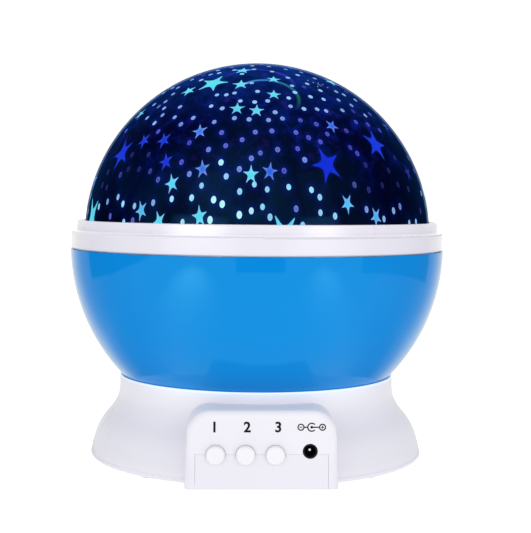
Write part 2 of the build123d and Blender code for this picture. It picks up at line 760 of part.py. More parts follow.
with BuildPart() as bowl:
    with BuildSketch(Plane.XZ):
        with BuildLine():
            ro0, ro1 = sphere_r(bowl_rho, bowl_c, bowl_floor), sphere_r(bowl_rho, bowl_c, bowl_top)
            ri0, ri1 = sphere_r(rho_in, bowl_c, floor_in), sphere_r(rho_in, bowl_c, bowl_top)
            Polyline((hub_out, floor_in), (hub_out, hub_hi), (hub_in, hub_hi), (hub_in, hub_lo),
                     (hub_out, hub_lo), (hub_out, bowl_floor), (ro0, bowl_floor))
            ThreePointArc((ro0, bowl_floor), (sphere_r(bowl_rho, bowl_c, 46), 46), (ro1, bowl_top))
            Line((ro1, bowl_top), (ri1, bowl_top))
            ThreePointArc((ri1, bowl_top), (sphere_r(rho_in, bowl_c, 46), 46), (ri0, floor_in))
            Line((ri0, floor_in), (hub_out, floor_in))
        make_face()
    revolve(axis=Axis.Z)
    with BuildSketch(Plane.XY.offset(bowl_floor - 1)):
        with PolarLocations(37.0, 3, start_angle=30):
            Circle(1.1)
    extrude(amount=4, mode=Mode.SUBTRACT)
bowl.part.label = "bowl"

with BuildPart() as rim_ring:
    with BuildSketch(Plane.XZ):
        with BuildLine():
            Polyline((rim_r, rim_lo + 0.4), (rim_r, rim_hi - 0.6))
            ThreePointArc((rim_r, rim_hi - 0.6), (rim_r - 0.18, rim_hi - 0.18), (rim_r - 0.6, rim_hi))
            Polyline((rim_r - 0.6, rim_hi), (59.0, rim_hi), (59.0, 77.8), (61.5, 77.8), (61.5, 70.5),
                     (63.3, 70.5), (63.3, bowl_top), (64.3, bowl_top), (64.3, rim_lo),
                     (rim_r - 0.3, rim_lo), (rim_r, rim_lo + 0.4))
        make_face()
    revolve(axis=Axis.Z)
    for a in key_angles:
        with BuildSketch(Plane.XY.offset(76.0)):
            with Locations(Location((62.35 * cos(radians(a)), 62.35 * sin(radians(a)), 0), (0, 0, a))):
                Rectangle(1.75, 9.4)
        extrude(amount=5, mode=Mode.SUBTRACT)
rim_ring.part.label = "rim_ring"

# ---------------------------------------------------------------------------
# Dome and its collar
# ---------------------------------------------------------------------------
dome_in = dome_rho - dome_wall

with BuildPart() as star_dome:
    with BuildSketch(Plane.XZ):
        with BuildLine():
            za, zb = 79.9, 81.4
            Line((0, dome_c + dome_in), (0, dome_c + dome_rho))
            ThreePointArc((0, dome_c + dome_rho),
                          (dome_rho * cos(radians(45)), dome_c + dome_rho * sin(radians(45))),
                          (sphere_r(dome_rho, dome_c, zb), zb))
            Polyline((sphere_r(dome_rho, dome_c, zb), zb), (61.6, zb), (61.6, za),
                     (sphere_r(dome_in, dome_c, za), za))
            ThreePointArc((sphere_r(dome_in, dome_c, za), za),
                          (dome_in * cos(radians(45)), dome_c + dome_in * sin(radians(45))),
                          (0, dome_c + dome_in))
        make_face()
    revolve(axis=Axis.Z)
star_dome.part.label = "star_dome"

with BuildPart() as dome_ring:
    with BuildSketch(Plane.XZ):
        with BuildLine():
            Line((collar_r_lo, collar_lo + 0.2), (collar_r_hi, collar_hi - 0.35))
            ThreePointArc((collar_r_hi, collar_hi - 0.35), (collar_r_hi - 0.12, collar_hi - 0.1),
                          (collar_r_hi - 0.45, collar_hi))
            Polyline((collar_r_hi - 0.45, collar_hi), (60.8, collar_hi), (60.75, 81.5), (61.75, 81.5),
                     (61.75, collar_lo), (collar_r_lo - 0.15, collar_lo), (collar_r_lo, collar_lo + 0.2))
        make_face()
    revolve(axis=Axis.Z)
    for a in key_angles:
        with BuildSketch(Plane.XY.offset(76.6)):
            with Locations(Location((62.4 * cos(radians(a)), 62.4 * sin(radians(a)), 0), (0, 0, a))):
                Rectangle(1.15, 8.0)
        extrude(amount=80.2 - 76.6)
        # witness ridge of the key on the collar's outside
        ca, sa = cos(radians(a - 0.3)), sin(radians(a - 0.3))
        with BuildSketch(Plane(origin=(0, 0, 0), x_dir=(ca, sa, 0), z_dir=(sa, -ca, 0))):
            with BuildLine():
                Polyline((collar_r_lo - 1, collar_lo + 0.3), (collar_r_lo + 0.1, collar_lo + 0.3),
                         (collar_r_hi + 0.1, collar_hi - 0.4), (collar_r_hi - 1, collar_hi - 0.4), close=True)
            make_face()
        revolve(axis=Axis.Z, revolution_arc=0.6)
dome_ring.part.label = "dome_ring"

# ---------------------------------------------------------------------------
# Lamp post, bearing pieces and lamps
# ---------------------------------------------------------------------------
board_z = 70.5
led_xy = [(3.9, 3.9), (-3.9, 3.9), (-3.9, -3.9), (3.9, -3.9)]
led_names = ["led_white", "led_red", "led_green", "led_blue"]

with BuildPart() as lamp_post:
    with BuildSketch(Plane.XZ):
        with BuildLine():
            Polyline((0, 19.0), (post_r, 19.0), (post_r, 30.15), (12.0, 30.15), (12.0, 34.0),
                     (9.8, 66.0), (12.6, 69.6), (12.6, 73.2), (11.25, 73.2), (11.25, board_z),
                     (8.2, board_z), (8.2, 66.0), (10.5, 34.0), (11.2, 30.0), (11.2, 20.6),
                     (0, 20.6), close=True)
        make_face()
    revolve(axis=Axis.Z)
    with BuildSketch(Plane.XY.offset(20.0)):
        with Locations(*post_screw_xy):
            Circle(2.3)
    extrude(amount=7)
    with BuildSketch(Plane.XY.offset(18)):
        with Locations(*post_screw_xy):
            Circle(0.92)
    extrude(amount=8, mode=Mode.SUBTRACT)
    with BuildSketch(Plane.XY.offset(18)):
        with Locations((0, wire_y)):
            Rectangle(7.2, 1.9)
    extrude(amount=4, mode=Mode.SUBTRACT)
    with BuildSketch(Plane.XY.offset(66.5)):
        with Locations((9.6, 0), (-9.6, 0)):
            Circle(0.62)
    extrude(amount=5, mode=Mode.SUBTRACT)
lamp_post.part.label = "lamp_post"

with BuildPart() as post_screws:
    with BuildSketch(Plane.XY.offset(deck_lo + 0.3)):
        with Locations(*post_screw_xy):
            Circle(2.1)
    extrude(amount=1.3)
    with BuildSketch(Plane.XY.offset(deck_lo + 1.5)):
        with Locations(*post_screw_xy):
            Circle(0.9)
    extrude(amount=7.5)
    with BuildSketch(Plane.XY.offset(deck_lo)):
        with Locations(*post_screw_xy):
            Rectangle(2.2, 0.5)
            Rectangle(0.5, 2.2)
    extrude(amount=0.9, mode=Mode.SUBTRACT)
post_screws.part.label = "post_screws"

with BuildPart() as glide_washer:
    with BuildSketch(Plane.XY.offset(21.2)):
        Circle(hub_out - 0.05)
        Circle(post_r + 0.15, mode=Mode.SUBTRACT)
    extrude(amount=0.7)
glide_washer.part.label = "glide_washer"

with BuildPart() as bowl_retainer:
    with BuildSketch(Plane.XY.offset(30.15)):
        Circle(15.7)
        Circle(12.05, mode=Mode.SUBTRACT)
        with Locations((0, 14)):
            Rectangle(5, 8, mode=Mode.SUBTRACT)
    extrude(amount=1.2)
bowl_retainer.part.label = "bowl_retainer"

with BuildPart() as lamp_board:
    with BuildSketch(Plane.XY.offset(board_z)):
        Circle(11.1)
        with Locations((9.6, 0), (-9.6, 0)):
            Circle(0.75, mode=Mode.SUBTRACT)
    extrude(amount=1.6)
lamp_board.part.label = "lamp_board"

with BuildPart() as lamp_board_screws:
    with BuildSketch(Plane.XY.offset(board_z + 1.6)):
        with Locations((9.6, 0), (-9.6, 0)):
            Circle(1.25)
    extrude(amount=0.8)
    with BuildSketch(Plane.XY.offset(67.0)):
        with Locations((9.6, 0), (-9.6, 0)):
            Circle(0.6)
    extrude(amount=board_z + 1.6 - 67.0)
    with BuildSketch(Plane.XY.offset(board_z + 2.0)):
        with Locations((9.6, 0), (-9.6, 0)):
            Rectangle(1.5, 0.4)
            Rectangle(0.4, 1.5)
    extrude(amount=1, mode=Mode.SUBTRACT)
lamp_board_screws.part.label = "lamp_board_screws"

leds = []
for name, (lx, ly) in zip(led_names, led_xy):
    with BuildPart() as led:
        with BuildSketch(Plane.XZ.offset(-ly)):
            with BuildLine():
                z0 = board_z + 1.6
                Polyline((lx, z0 + 8.6), (lx, z0), (lx + 2.9, z0), (lx + 2.9, z0 + 1.0),
                         (lx + 2.5, z0 + 1.0), (lx + 2.5, z0 + 6.1))
                ThreePointArc((lx + 2.5, z0 + 6.1),
                              (lx + 2.5 * cos(radians(45)), z0 + 6.1 + 2.5 * sin(radians(45))),
                              (lx, z0 + 8.6))
            make_face()
        revolve(axis=Axis((lx, ly, 0), (0, 0, 1)))
    led.part.label = name
    leds.append(led)

# ---------------------------------------------------------------------------
# Leads inside the base and the post
# ---------------------------------------------------------------------------
with BuildPart() as lamp_leads:
    for k in range(5):
        x = (k - 2) * 1.3
        with BuildLine() as route:
            FilletPolyline((x, 0, board_z - 0.1), (x, 0, 60), (x, -5.0, 44), (x, wire_y, 28),
                           (x, wire_y, 10.8), (x, board_back + 0.1, 10.8), radius=[12, 12, 12, 3.5])
        with BuildSketch(Plane(origin=route.line @ 0, z_dir=route.line % 0)):
            Circle(0.55)
        sweep(path=route.line)
lamp_leads.part.label = "lamp_leads"

with BuildPart() as motor_leads:
    for k in range(2):
        with BuildLine() as route:
            FilletPolyline((20.5 + 1.6 * k, -34.9, 5.0), (18.4 + 1.6 * k, -42.0, 5.8),
                           (15.5 + 1.6 * k, -47.0, 6.6), (15.5 + 1.6 * k, board_back + 0.05, 6.6),
                           radius=[9, 5])
        with BuildSketch(Plane(origin=route.line @ 0, z_dir=route.line % 0)):
            Circle(0.5)
        sweep(path=route.line)
motor_leads.part.label = "motor_leads"

with BuildPart() as battery_leads:
    with BuildLine() as route:
        FilletPolyline((-27.2, 31.5, 10.0), (-29.5, 24.0, 9.0), (-29.5, -2.0, 8.5), (-22.0, -27.0, 8.0),
                       (-16.0, -44.0, 8.0), (-16.0, board_back + 0.05, 8.0), radius=[9, 25, 25, 9])
    with BuildSketch(Plane(origin=route.line @ 0, z_dir=route.line % 0)):
        Circle(0.6)
    sweep(path=route.line)
    with BuildLine() as route:
        FilletPolyline((-27.4, -1.0, 12.0), (-27.4, -9.5, 11.5), (-19.5, -28.0, 10.0),
                       (-13.0, -44.0, 8.6), (-13.0, board_back + 0.05, 8.6), radius=[9, 25, 9])
    with BuildSketch(Plane(origin=route.line @ 0, z_dir=route.line % 0)):
        Circle(0.6)
    sweep(path=route.line)
battery_leads.part.label = "battery_leads"

# ---------------------------------------------------------------------------
pieces = [base_shell, base_bottom, battery_door, feet, base_screws,
          battery_cells, battery_contacts, battery_springs,
          main_board, board_screws, board_parts, switch_bodies, *buttons, *plungers,
          dc_jack, dc_jack_pin,
          motor_can, motor_end_cap, motor_magnets, motor_rotor, motor_shaft, motor_pinion, motor_screws,
          idler_gear, drive_gear, idler_axle, drive_axle, ring_gear, ring_gear_screws,
          bowl, rim_ring, star_dome, dome_ring,
          lamp_post, post_screws, glide_washer, bowl_retainer,
          lamp_board, lamp_board_screws, *leds,
          lamp_leads, motor_leads, battery_leads]

for piece in pieces:
    export_step(piece.part, "parts/%s.step" % piece.part.label)
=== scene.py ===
import json
import random
from math import acos, asin, atan2, cos, degrees, exp, hypot, pi, radians, sin, sqrt, tan

import bmesh
import bpy
from mathutils import Matrix, Vector
from mathutils.geometry import delaunay_2d_cdt


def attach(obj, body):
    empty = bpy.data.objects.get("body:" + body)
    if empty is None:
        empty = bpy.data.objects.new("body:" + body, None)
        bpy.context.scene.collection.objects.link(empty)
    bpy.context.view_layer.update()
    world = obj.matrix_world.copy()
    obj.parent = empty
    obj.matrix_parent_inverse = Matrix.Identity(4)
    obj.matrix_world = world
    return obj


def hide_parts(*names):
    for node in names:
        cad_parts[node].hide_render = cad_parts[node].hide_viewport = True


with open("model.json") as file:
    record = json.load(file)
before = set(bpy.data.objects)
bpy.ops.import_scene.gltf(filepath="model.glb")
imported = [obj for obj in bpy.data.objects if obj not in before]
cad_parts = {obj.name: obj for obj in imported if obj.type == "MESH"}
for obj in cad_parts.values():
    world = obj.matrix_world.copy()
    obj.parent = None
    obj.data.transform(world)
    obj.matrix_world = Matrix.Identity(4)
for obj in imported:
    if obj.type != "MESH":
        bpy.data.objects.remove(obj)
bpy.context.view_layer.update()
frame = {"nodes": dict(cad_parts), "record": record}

MM = 0.001
scene = bpy.context.scene
nodes = frame["nodes"]


# ---------------------------------------------------------------------------
# small helpers
# ---------------------------------------------------------------------------
def link_object(ob):
    scene.collection.objects.link(ob)
    return ob


def mesh_object(name, verts, faces, mats=(), smooth=True):
    mesh = bpy.data.meshes.new(name)
    mesh.from_pydata([tuple(v) for v in verts], [], [tuple(f) for f in faces])
    mesh.update()
    for m in mats:
        mesh.materials.append(m)
    mesh.polygons.foreach_set("use_smooth", [smooth] * len(mesh.polygons))
    return link_object(bpy.data.objects.new(name, mesh))


def srgb(r, g, b):
    """0-255 display values as a linear colour."""
    out = []
    for c in (r, g, b):
        c = c / 255
        out.append(c / 12.92 if c <= 0.04045 else ((c + 0.055) / 1.055) ** 2.4)
    return (*out, 1.0)


class Tree:
    """A material's node tree with short ways to add and join nodes."""

    def __init__(self, name):
        self.mat = bpy.data.materials.new(name)
        self.mat.use_nodes = True
        self.nt = self.mat.node_tree
        self.bsdf = next(n for n in self.nt.nodes if n.type == "BSDF_PRINCIPLED")
        self._obj = None

    def add(self, kind, **props):
        n = self.nt.nodes.new(kind)
        for k, v in props.items():
            setattr(n, k, v)
        return n

    def join(self, a, b):
        self.nt.links.new(a, b)

    def put(self, node, name, value):
        """A socket gets a link or a plain value."""
        s = node.inputs[name]
        if isinstance(value, bpy.types.NodeSocket):
            self.join(value, s)
        else:
            s.default_value = value

    @property
    def obj(self):
        if self._obj is None:
            self._obj = self.add("ShaderNodeTexCoord").outputs["Object"]
        return self._obj

    def noise(self, scale, detail=2.0, rough=0.5, stretch=None, distortion=0.0):
        n = self.add("ShaderNodeTexNoise")
        n.inputs["Scale"].default_value = scale
        n.inputs["Detail"].default_value = detail
        n.inputs["Roughness"].default_value = rough
        n.inputs["Distortion"].default_value = distortion
        v = self.obj
        if stretch:
            m = self.add("ShaderNodeMapping")
            m.inputs["Scale"].default_value = stretch
            self.join(v, m.inputs["Vector"])
            v = m.outputs["Vector"]
        self.join(v, n.inputs["Vector"])
        return n.outputs["Fac"]

    def ramp(self, fac, stops, mode="LINEAR"):
        n = self.add("ShaderNodeValToRGB")
        cr = n.color_ramp
        cr.interpolation = mode
        while len(cr.elements) > 1:
            cr.elements.remove(cr.elements[-1])
        cr.elements[0].position = stops[0][0]
        cr.elements[0].color = stops[0][1]
        for p, c in stops[1:]:
            cr.elements.new(p).color = c
        self.join(fac, n.inputs["Fac"])
        return n.outputs["Color"]

    def span(self, value, a, b, c=0.0, d=1.0, smooth=False):
        n = self.add("ShaderNodeMapRange")
        n.interpolation_type = "SMOOTHSTEP" if smooth else "LINEAR"
        n.clamp = True
        self.join(value, n.inputs["Value"])
        for k, v in (("From Min", a), ("From Max", b), ("To Min", c), ("To Max", d)):
            n.inputs[k].default_value = v
        return n.outputs["Result"]

    def math(self, op, a, b=None, c=None, clamp=False):
        n = self.add("ShaderNodeMath", operation=op, use_clamp=clamp)
        for i, v in enumerate((a, b, c)):
            if v is None:
                continue
            if isinstance(v, bpy.types.NodeSocket):
                self.join(v, n.inputs[i])
            else:
                n.inputs[i].default_value = v
        return n.outputs[0]

    def dot(self, v, w, centre=(0, 0, 0)):
        sub = self.add("ShaderNodeVectorMath", operation="SUBTRACT")
        self.join(v, sub.inputs[0])
        sub.inputs[1].default_value = centre
        n = self.add("ShaderNodeVectorMath", operation="DOT_PRODUCT")
        self.join(sub.outputs[0], n.inputs[0])
        n.inputs[1].default_value = w
        return n.outputs["Value"]

    def mix(self, fac, a, b, blend="MIX"):
        n = self.add("ShaderNodeMix", data_type="RGBA", blend_type=blend)
        for s, v in ((n.inputs[0], fac), (n.inputs[6], a), (n.inputs[7], b)):
            if isinstance(v, bpy.types.NodeSocket):
                self.join(v, s)
            else:
                s.default_value = v
        return n.outputs[2]

    def scaled(self, colour, factor):
        """colour times a value from a socket"""
        n = self.add("ShaderNodeVectorMath", operation="SCALE")
        self.put(n, 0, colour[:3] if isinstance(colour, tuple) else colour)
        self.put(n, "Scale", factor)
        return n.outputs[0]

    def plus(self, *parts):
        out = parts[0]
        for p in parts[1:]:
            n = self.add("ShaderNodeVectorMath", operation="ADD")
            self.put(n, 0, out[:3] if isinstance(out, tuple) else out)
            self.put(n, 1, p[:3] if isinstance(p, tuple) else p)
            out = n.outputs[0]
        return out

    def xyz(self):
        n = self.add("ShaderNodeSeparateXYZ")
        self.join(self.obj, n.inputs[0])
        return n.outputs

    def bump(self, height, strength, distance):
        n = self.add("ShaderNodeBump")
        n.inputs["Strength"].default_value = strength
        n.inputs["Distance"].default_value = distance
        self.join(height, n.inputs["Height"])
        self.join(n.outputs["Normal"], self.bsdf.inputs["Normal"])

    def attr(self, name):
        n = self.add("ShaderNodeAttribute", attribute_type="GEOMETRY", attribute_name=name)
        return n.outputs["Fac"]


def shade(c, k):
    return (min(c[0] * k, 1), min(c[1] * k, 1), min(c[2] * k, 1), 1.0)


def plastic(name, colour, rough=0.25, vary=0.03, grain=900, bump=0.03, ior=1.46,
            tint=None, streak=0.02, scuff=0.0, blotch=40, glow=None, joint=None):
    """Moulded plastic: slight cloudiness, fine texture, faint handling marks in the gloss, and optional painted light
    in the emission.
    """
    t = Tree(name)
    cloud = t.noise(blotch, 3, 0.55)
    fine = t.noise(grain, 2, 0.6)
    c = t.mix(t.span(cloud, 0.32, 0.68), shade(colour, 1 - vary), shade(colour, 1 + vary))
    c = t.mix(t.span(fine, 0.35, 0.75, 0, 0.22), c, shade(colour, 1 - 1.6 * vary))
    wiped = t.noise(55, 4, 0.7, stretch=(1.0, 1.0, 6.0), distortion=0.6)
    r = t.math("ADD", t.span(cloud, 0.3, 0.7, rough * 0.85, rough * 1.12),
               t.span(wiped, 0.52, 0.8, 0, streak + scuff))
    if scuff:
        marks = t.noise(260, 5, 0.75, stretch=(1.0, 8.0, 1.0), distortion=0.3)
        c = t.mix(t.span(marks, 0.62, 0.8, 0, scuff), c, shade(colour, 0.72))
        r = t.math("ADD", r, t.span(marks, 0.6, 0.8, 0, scuff))
    t.put(t.bsdf, "Base Color", c)
    t.put(t.bsdf, "Roughness", r)
    t.bsdf.inputs["IOR"].default_value = ior
    if tint:
        t.bsdf.inputs["Specular Tint"].default_value = tint
    # painted light: emission bands by height, only in front of a given depth, brighten the surface as fill light would
    if glow:
        z = t.xyz()[2]
        painted_light_bands = t.plus(*[t.scaled(light, t.math("MULTIPLY", t.span(z, z0, z1, smooth=True),
                                              t.span(t.xyz()[1], front, front - 0.020, smooth=True)))
                       for z0, z1, front, light in glow])
        t.put(t.bsdf, "Emission Color", t.scaled(painted_light_bands, t.span(cloud, 0.3, 0.7, 0.94, 1.06)))
        t.bsdf.inputs["Emission Strength"].default_value = 1.0
    if joint:
        # painted light that fills the dark seam at a joint, in the emission: (height, reach down, reach up, outer
        # radius, colour)
        at, down, up, outer, light = joint
        x, y, z = t.xyz()
        r = t.math("SQRT", t.math("ADD", t.math("MULTIPLY", x, x), t.math("MULTIPLY", y, y)))
        near = t.math("MULTIPLY", t.span(z, at - down, at - 0.5 * down), t.span(z, at + up, at, smooth=True))
        t.put(t.bsdf, "Emission Color", t.scaled(light, t.math("MULTIPLY", near, t.span(r, outer, outer - 0.0002))))
        t.bsdf.inputs["Emission Strength"].default_value = 1.0
    t.bump(fine, bump, 0.00008)
    return t.mat


def metal(name, colour, rough=0.25, vary=0.08, brush=None, dull=0.15):
    t = Tree(name)
    fine = t.noise(1400, 3, 0.6, stretch=brush)
    patch = t.noise(120, 4, 0.6)
    c = t.mix(t.span(patch, 0.35, 0.7), shade(colour, 1 - vary), shade(colour, 1 + vary))
    c = t.mix(t.span(fine, 0.4, 0.8, 0, 0.4), c, shade(colour, 0.8))
    t.put(t.bsdf, "Base Color", c)
    t.put(t.bsdf, "Roughness", t.math("ADD", t.span(fine, 0.3, 0.7, rough * 0.8, rough * 1.25),
                                      t.span(patch, 0.55, 0.8, 0, dull)))
    t.bsdf.inputs["Metallic"].default_value = 1.0
    t.bump(fine, 0.06, 0.00006)
    return t.mat


# ---------------------------------------------------------------------------
# finishes
# ---------------------------------------------------------------------------
WHITE = (0.700, 0.690, 0.745, 1)
M = {}
M["white_plastic"] = plastic("white_plastic", WHITE, rough=0.20, vary=0.012, grain=1300, bump=0.02,
                             ior=1.45, streak=0.03, scuff=0.015, blotch=22)
# painted light in the emission: a warm band low on the flare all round, paler bands on the front below the bowl, a
# bluish cast on the front of the neck and a pale blue line round its top edge
PAINTED_LIGHT_SHELL = plastic("white_shell_painted_light", shade(WHITE, 1.0), rough=0.30, vary=0.012, grain=1300, bump=0.02, ior=1.08, streak=0.03,
                scuff=0.015, blotch=22, glow=((0.0070, 0.0150, 0.09, (0.030, 0.026, 0.018)),
                                              (0.0215, 0.0275, -0.026, (0.046, 0.053, 0.050)),
                                              (0.0262, 0.0292, -0.022, (0.018, 0.060, 0.130)),
                                              (0.0288, 0.0297, 0.09, (0.17, 0.26, 0.33)),
                                              (0.0235, 0.0255, -0.048, (0.045, 0.040, 0.034))))
# the rings' white is a slightly darker copy of the base white, painted shade; their emission paints light into the dark
# seam between the rings
RING_PAINTED_SEAM = plastic("white_ring_painted_seam", (0.676, 0.662, 0.730, 1), rough=0.19, vary=0.012, grain=1300, bump=0.02, ior=1.45, streak=0.03,
               scuff=0.015, blotch=22, joint=(0.07995, 0.0005, 0.0006, 0.0649, (0.205, 0.20, 0.215, 1)))
COVER = plastic("white_cover", WHITE, rough=0.30, vary=0.012, grain=1300, bump=0.02, ior=1.08, streak=0.03,
                scuff=0.015, blotch=22)
M["button_plastic"] = plastic("button_plastic", (0.735, 0.73, 0.765, 1), rough=0.32, vary=0.012, grain=1500,
                              bump=0.03, ior=1.45, scuff=0.02)
M["black_plastic"] = plastic("black_plastic", (0.012, 0.012, 0.014, 1), rough=0.38, vary=0.12, bump=0.06, scuff=0.04)
JACK = plastic("jack_black", (0.0035, 0.0035, 0.004, 1), rough=0.55, vary=0.12, bump=0.06, ior=1.25, scuff=0.02)
M["gear_plastic"] = plastic("gear_plastic", (0.70, 0.685, 0.62, 1), rough=0.34, vary=0.03, grain=1000, bump=0.04,
                            scuff=0.04)
M["foot_rubber"] = plastic("foot_rubber", (0.42, 0.43, 0.45, 1), rough=0.75, vary=0.06, grain=1600, bump=0.2,
                           scuff=0.06)
M["lead_jacket"] = plastic("lead_jacket", (0.50, 0.02, 0.015, 1), rough=0.42, vary=0.08, grain=700, bump=0.05)
M["plated_steel"] = metal("plated_steel", (0.70, 0.705, 0.72, 1), rough=0.24)
M["rotor_steel"] = metal("rotor_steel", (0.20, 0.15, 0.11, 1), rough=0.45, vary=0.2, brush=(1, 1, 8))
M["magnet"] = plastic("magnet", (0.05, 0.05, 0.055, 1), rough=0.6, vary=0.2, grain=1200, bump=0.2)
M["gear_brass"] = metal("gear_brass", (0.78, 0.55, 0.22, 1), rough=0.25)


def board_material():
    """Solder mask over copper tracks, with pads."""
    t = Tree("circuit_board")
    brick = t.add("ShaderNodeTexBrick")
    brick.inputs["Scale"].default_value = 260
    brick.inputs["Mortar Size"].default_value = 0.03
    brick.inputs["Mortar Smooth"].default_value = 0.1
    brick.inputs["Color1"].default_value = (0, 0, 0, 1)
    brick.inputs["Color2"].default_value = (0, 0, 0, 1)
    brick.inputs["Mortar"].default_value = (1, 1, 1, 1)
    m = t.add("ShaderNodeMapping")
    m.inputs["Rotation"].default_value = (radians(90), 0, 0)
    t.join(t.obj, m.inputs["Vector"])
    t.join(m.outputs["Vector"], brick.inputs["Vector"])
    vor = t.add("ShaderNodeTexVoronoi", feature="F1")
    vor.inputs["Scale"].default_value = 420
    t.join(t.obj, vor.inputs["Vector"])
    pads = t.span(vor.outputs["Distance"], 0.16, 0.22, 1, 0)
    cloud = t.noise(90, 3, 0.6)
    c = t.mix(t.span(cloud, 0.3, 0.7), (0.012, 0.15, 0.045, 1), (0.02, 0.20, 0.065, 1))
    c = t.mix(t.math("MULTIPLY", brick.outputs["Fac"], 0.75), c, (0.035, 0.27, 0.10, 1))
    c = t.mix(pads, c, (0.62, 0.60, 0.52, 1))
    t.put(t.bsdf, "Base Color", c)
    t.put(t.bsdf, "Metallic", t.math("MULTIPLY", pads, 0.9))
    t.put(t.bsdf, "Roughness", t.span(t.noise(800, 2), 0.3, 0.7, 0.26, 0.40))
    t.bump(t.math("ADD", brick.outputs["Fac"], pads), 0.25, 0.00004)
    return t.mat


M["circuit_board"] = board_material()


def cell_material():
    """Plain printed wrap with bands, bare metal at both ends."""
    t = Tree("cell_can")
    x, y, z = t.xyz()
    a = t.math("ABSOLUTE", x)
    metal_end = t.span(a, 0.0210, 0.0212)
    cloud = t.noise(120, 3, 0.6)
    c = t.mix(t.span(cloud, 0.3, 0.7), (0.03, 0.17, 0.10, 1), (0.045, 0.21, 0.13, 1))
    c = t.mix(t.span(a, 0.0145, 0.0147), c, (0.52, 0.50, 0.44, 1))
    c = t.mix(t.span(a, 0.0185, 0.0187), c, (0.03, 0.03, 0.035, 1))
    c = t.mix(metal_end, c, (0.72, 0.72, 0.70, 1))
    fine = t.noise(900, 3, 0.6)
    t.put(t.bsdf, "Base Color", c)
    t.put(t.bsdf, "Metallic", t.math("MAXIMUM", metal_end, t.span(a, 0.0145, 0.0147, 0, 0.5)))
    t.put(t.bsdf, "Roughness", t.span(fine, 0.3, 0.7, 0.24, 0.40))
    t.bump(fine, 0.06, 0.00005)
    return t.mat


M["cell_can"] = cell_material()


def led_material(name, body, glow, strength):
    t = Tree(name)
    x, y, z = t.xyz()
    up = t.span(z, 0.0735, 0.0805)
    cloud = t.noise(500, 2)
    t.put(t.bsdf, "Base Color", t.mix(t.span(cloud, 0.3, 0.7), shade(body, 0.94), shade(body, 1.04)))
    t.put(t.bsdf, "Roughness", t.span(cloud, 0.3, 0.7, 0.05, 0.12))
    t.bsdf.inputs["IOR"].default_value = 1.5
    t.put(t.bsdf, "Emission Color", t.mix(up, shade(glow, 0.35), glow))
    t.bsdf.inputs["Emission Strength"].default_value = strength
    t.bump(cloud, 0.02, 0.00005)
    return t.mat


M["led_clear"] = led_material("led_clear", (0.80, 0.84, 0.90, 1), (0.75, 0.88, 1.0, 1), 1.1)
M["led_red"] = led_material("led_red", (0.75, 0.03, 0.03, 1), (0.9, 0.05, 0.04, 1), 0.12)
M["led_green"] = led_material("led_green", (0.05, 0.6, 0.1, 1), (0.1, 0.9, 0.2, 1), 0.12)
M["led_blue"] = led_material("led_blue", (0.04, 0.12, 0.85, 1), (0.08, 0.22, 1.0, 1), 1.4)


def blue_gloss():
    """Polished saturated blue, its gloss slightly tinted, with a faint swirl of polish."""
    t = Tree("blue_plastic")
    base = (0.0012, 0.204, 0.592, 1)
    cloud = t.noise(18, 2, 0.5)
    fine = t.noise(1500, 2, 0.6)
    c = t.mix(t.span(cloud, 0.3, 0.7), shade(base, 0.985), shade(base, 1.015))
    c = t.mix(t.span(fine, 0.4, 0.8, 0, 0.15), c, shade(base, 0.96))
    t.put(t.bsdf, "Base Color", c)
    swirl = t.noise(140, 5, 0.7, stretch=(1, 1, 5), distortion=0.8)
    t.put(t.bsdf, "Roughness", t.math("ADD", t.span(cloud, 0.3, 0.7, 0.055, 0.075),
                                      t.span(swirl, 0.5, 0.85, 0, 0.05)))
    t.bsdf.inputs["IOR"].default_value = 1.40
    t.bsdf.inputs["Specular Tint"].default_value = (0.22, 1.0, 0.85, 1)
    t.bump(t.noise(70, 2, 0.5), 0.02, 0.0002)
    return t.mat


M["blue_plastic"] = blue_gloss()

# ---------------------------------------------------------------------------
# the dome: dark gloss shell with star and dot windows that are lit from inside
# ---------------------------------------------------------------------------
DC, DR, DRI = 78.1, 60.7, 59.1
OUT_Z, IN_Z = 81.4, 79.9
C_OUT = acos((OUT_Z - DC) / DR)
C_IN = acos((IN_Z - DC) / DRI)

# azimuth from -Y towards +X, height angle above the dome's centre, size in mm, turn of the star,
# and the light's hue behind it: 0 deep blue, 0.4 azure, 0.75 sky, 1 cyan
SMALL_STARS = [
    (-41.7, 53.5, 2.75, 60, 1.0), (-11.8, 56.6, 2.95, 24, 1.0), (-15.3, 67.9, 3.1, 21, 1.0), (7.6, 60.2, 2.4, 9, 1.0),
    (5.6, 50.8, 2.45, 12, 1.0), (-10.8, 43.9, 2.55, 21, 0.95), (-2.6, 43.0, 2.5, 15, 0.95), (-23.6, 34.7, 2.5, 33, 0.42),
    (27.4, 37.4, 2.3, 54, 0.30), (26.4, 11.5, 2.35, 57, 0.72), (36.9, 7.5, 2.35, 48, 0.60), (-19.7, 21.8, 2.4, 30, 0.38),
    (-4.0, 20.1, 2.45, 18, 1.0), (1.9, 21.1, 2.4, 9, 0.30), (-19.2, 7.3, 2.5, 27, 1.0), (-33.6, 24.2, 2.4, 39, 0.06),
    (-29.5, 17.2, 2.5, 39, 0.88), (-39.8, 8.9, 2.4, 45, 0.70), (-47.7, 31.7, 2.4, 60, 0.08), (-37.6, 31.7, 2.5, 48, 0.10),
    (-32.6, 5.6, 2.5, 44, 0.95), (-66.2, 43.2, 2.5, 7, 0.85), (56.0, 61.2, 2.9, 25, 1.0),
    (61.0, 21.7, 2.4, 24, 0.02), (64.5, 39.0, 2.4, 21, 0.15),
]
BIG_STARS = [
    (-29.4, 57.8, 5.3, 9, 1.0), (45.6, 31.2, 4.8, 0, 0.08), (21.0, 23.5, 4.85, 36, 0.02), (-58.2, 27.4, 4.7, 45, 0.06),
    (5.9, 1.7, 4.95, 49.7, 0.92), (-69.0, 5.4, 5.9, 50, 0.95),
]
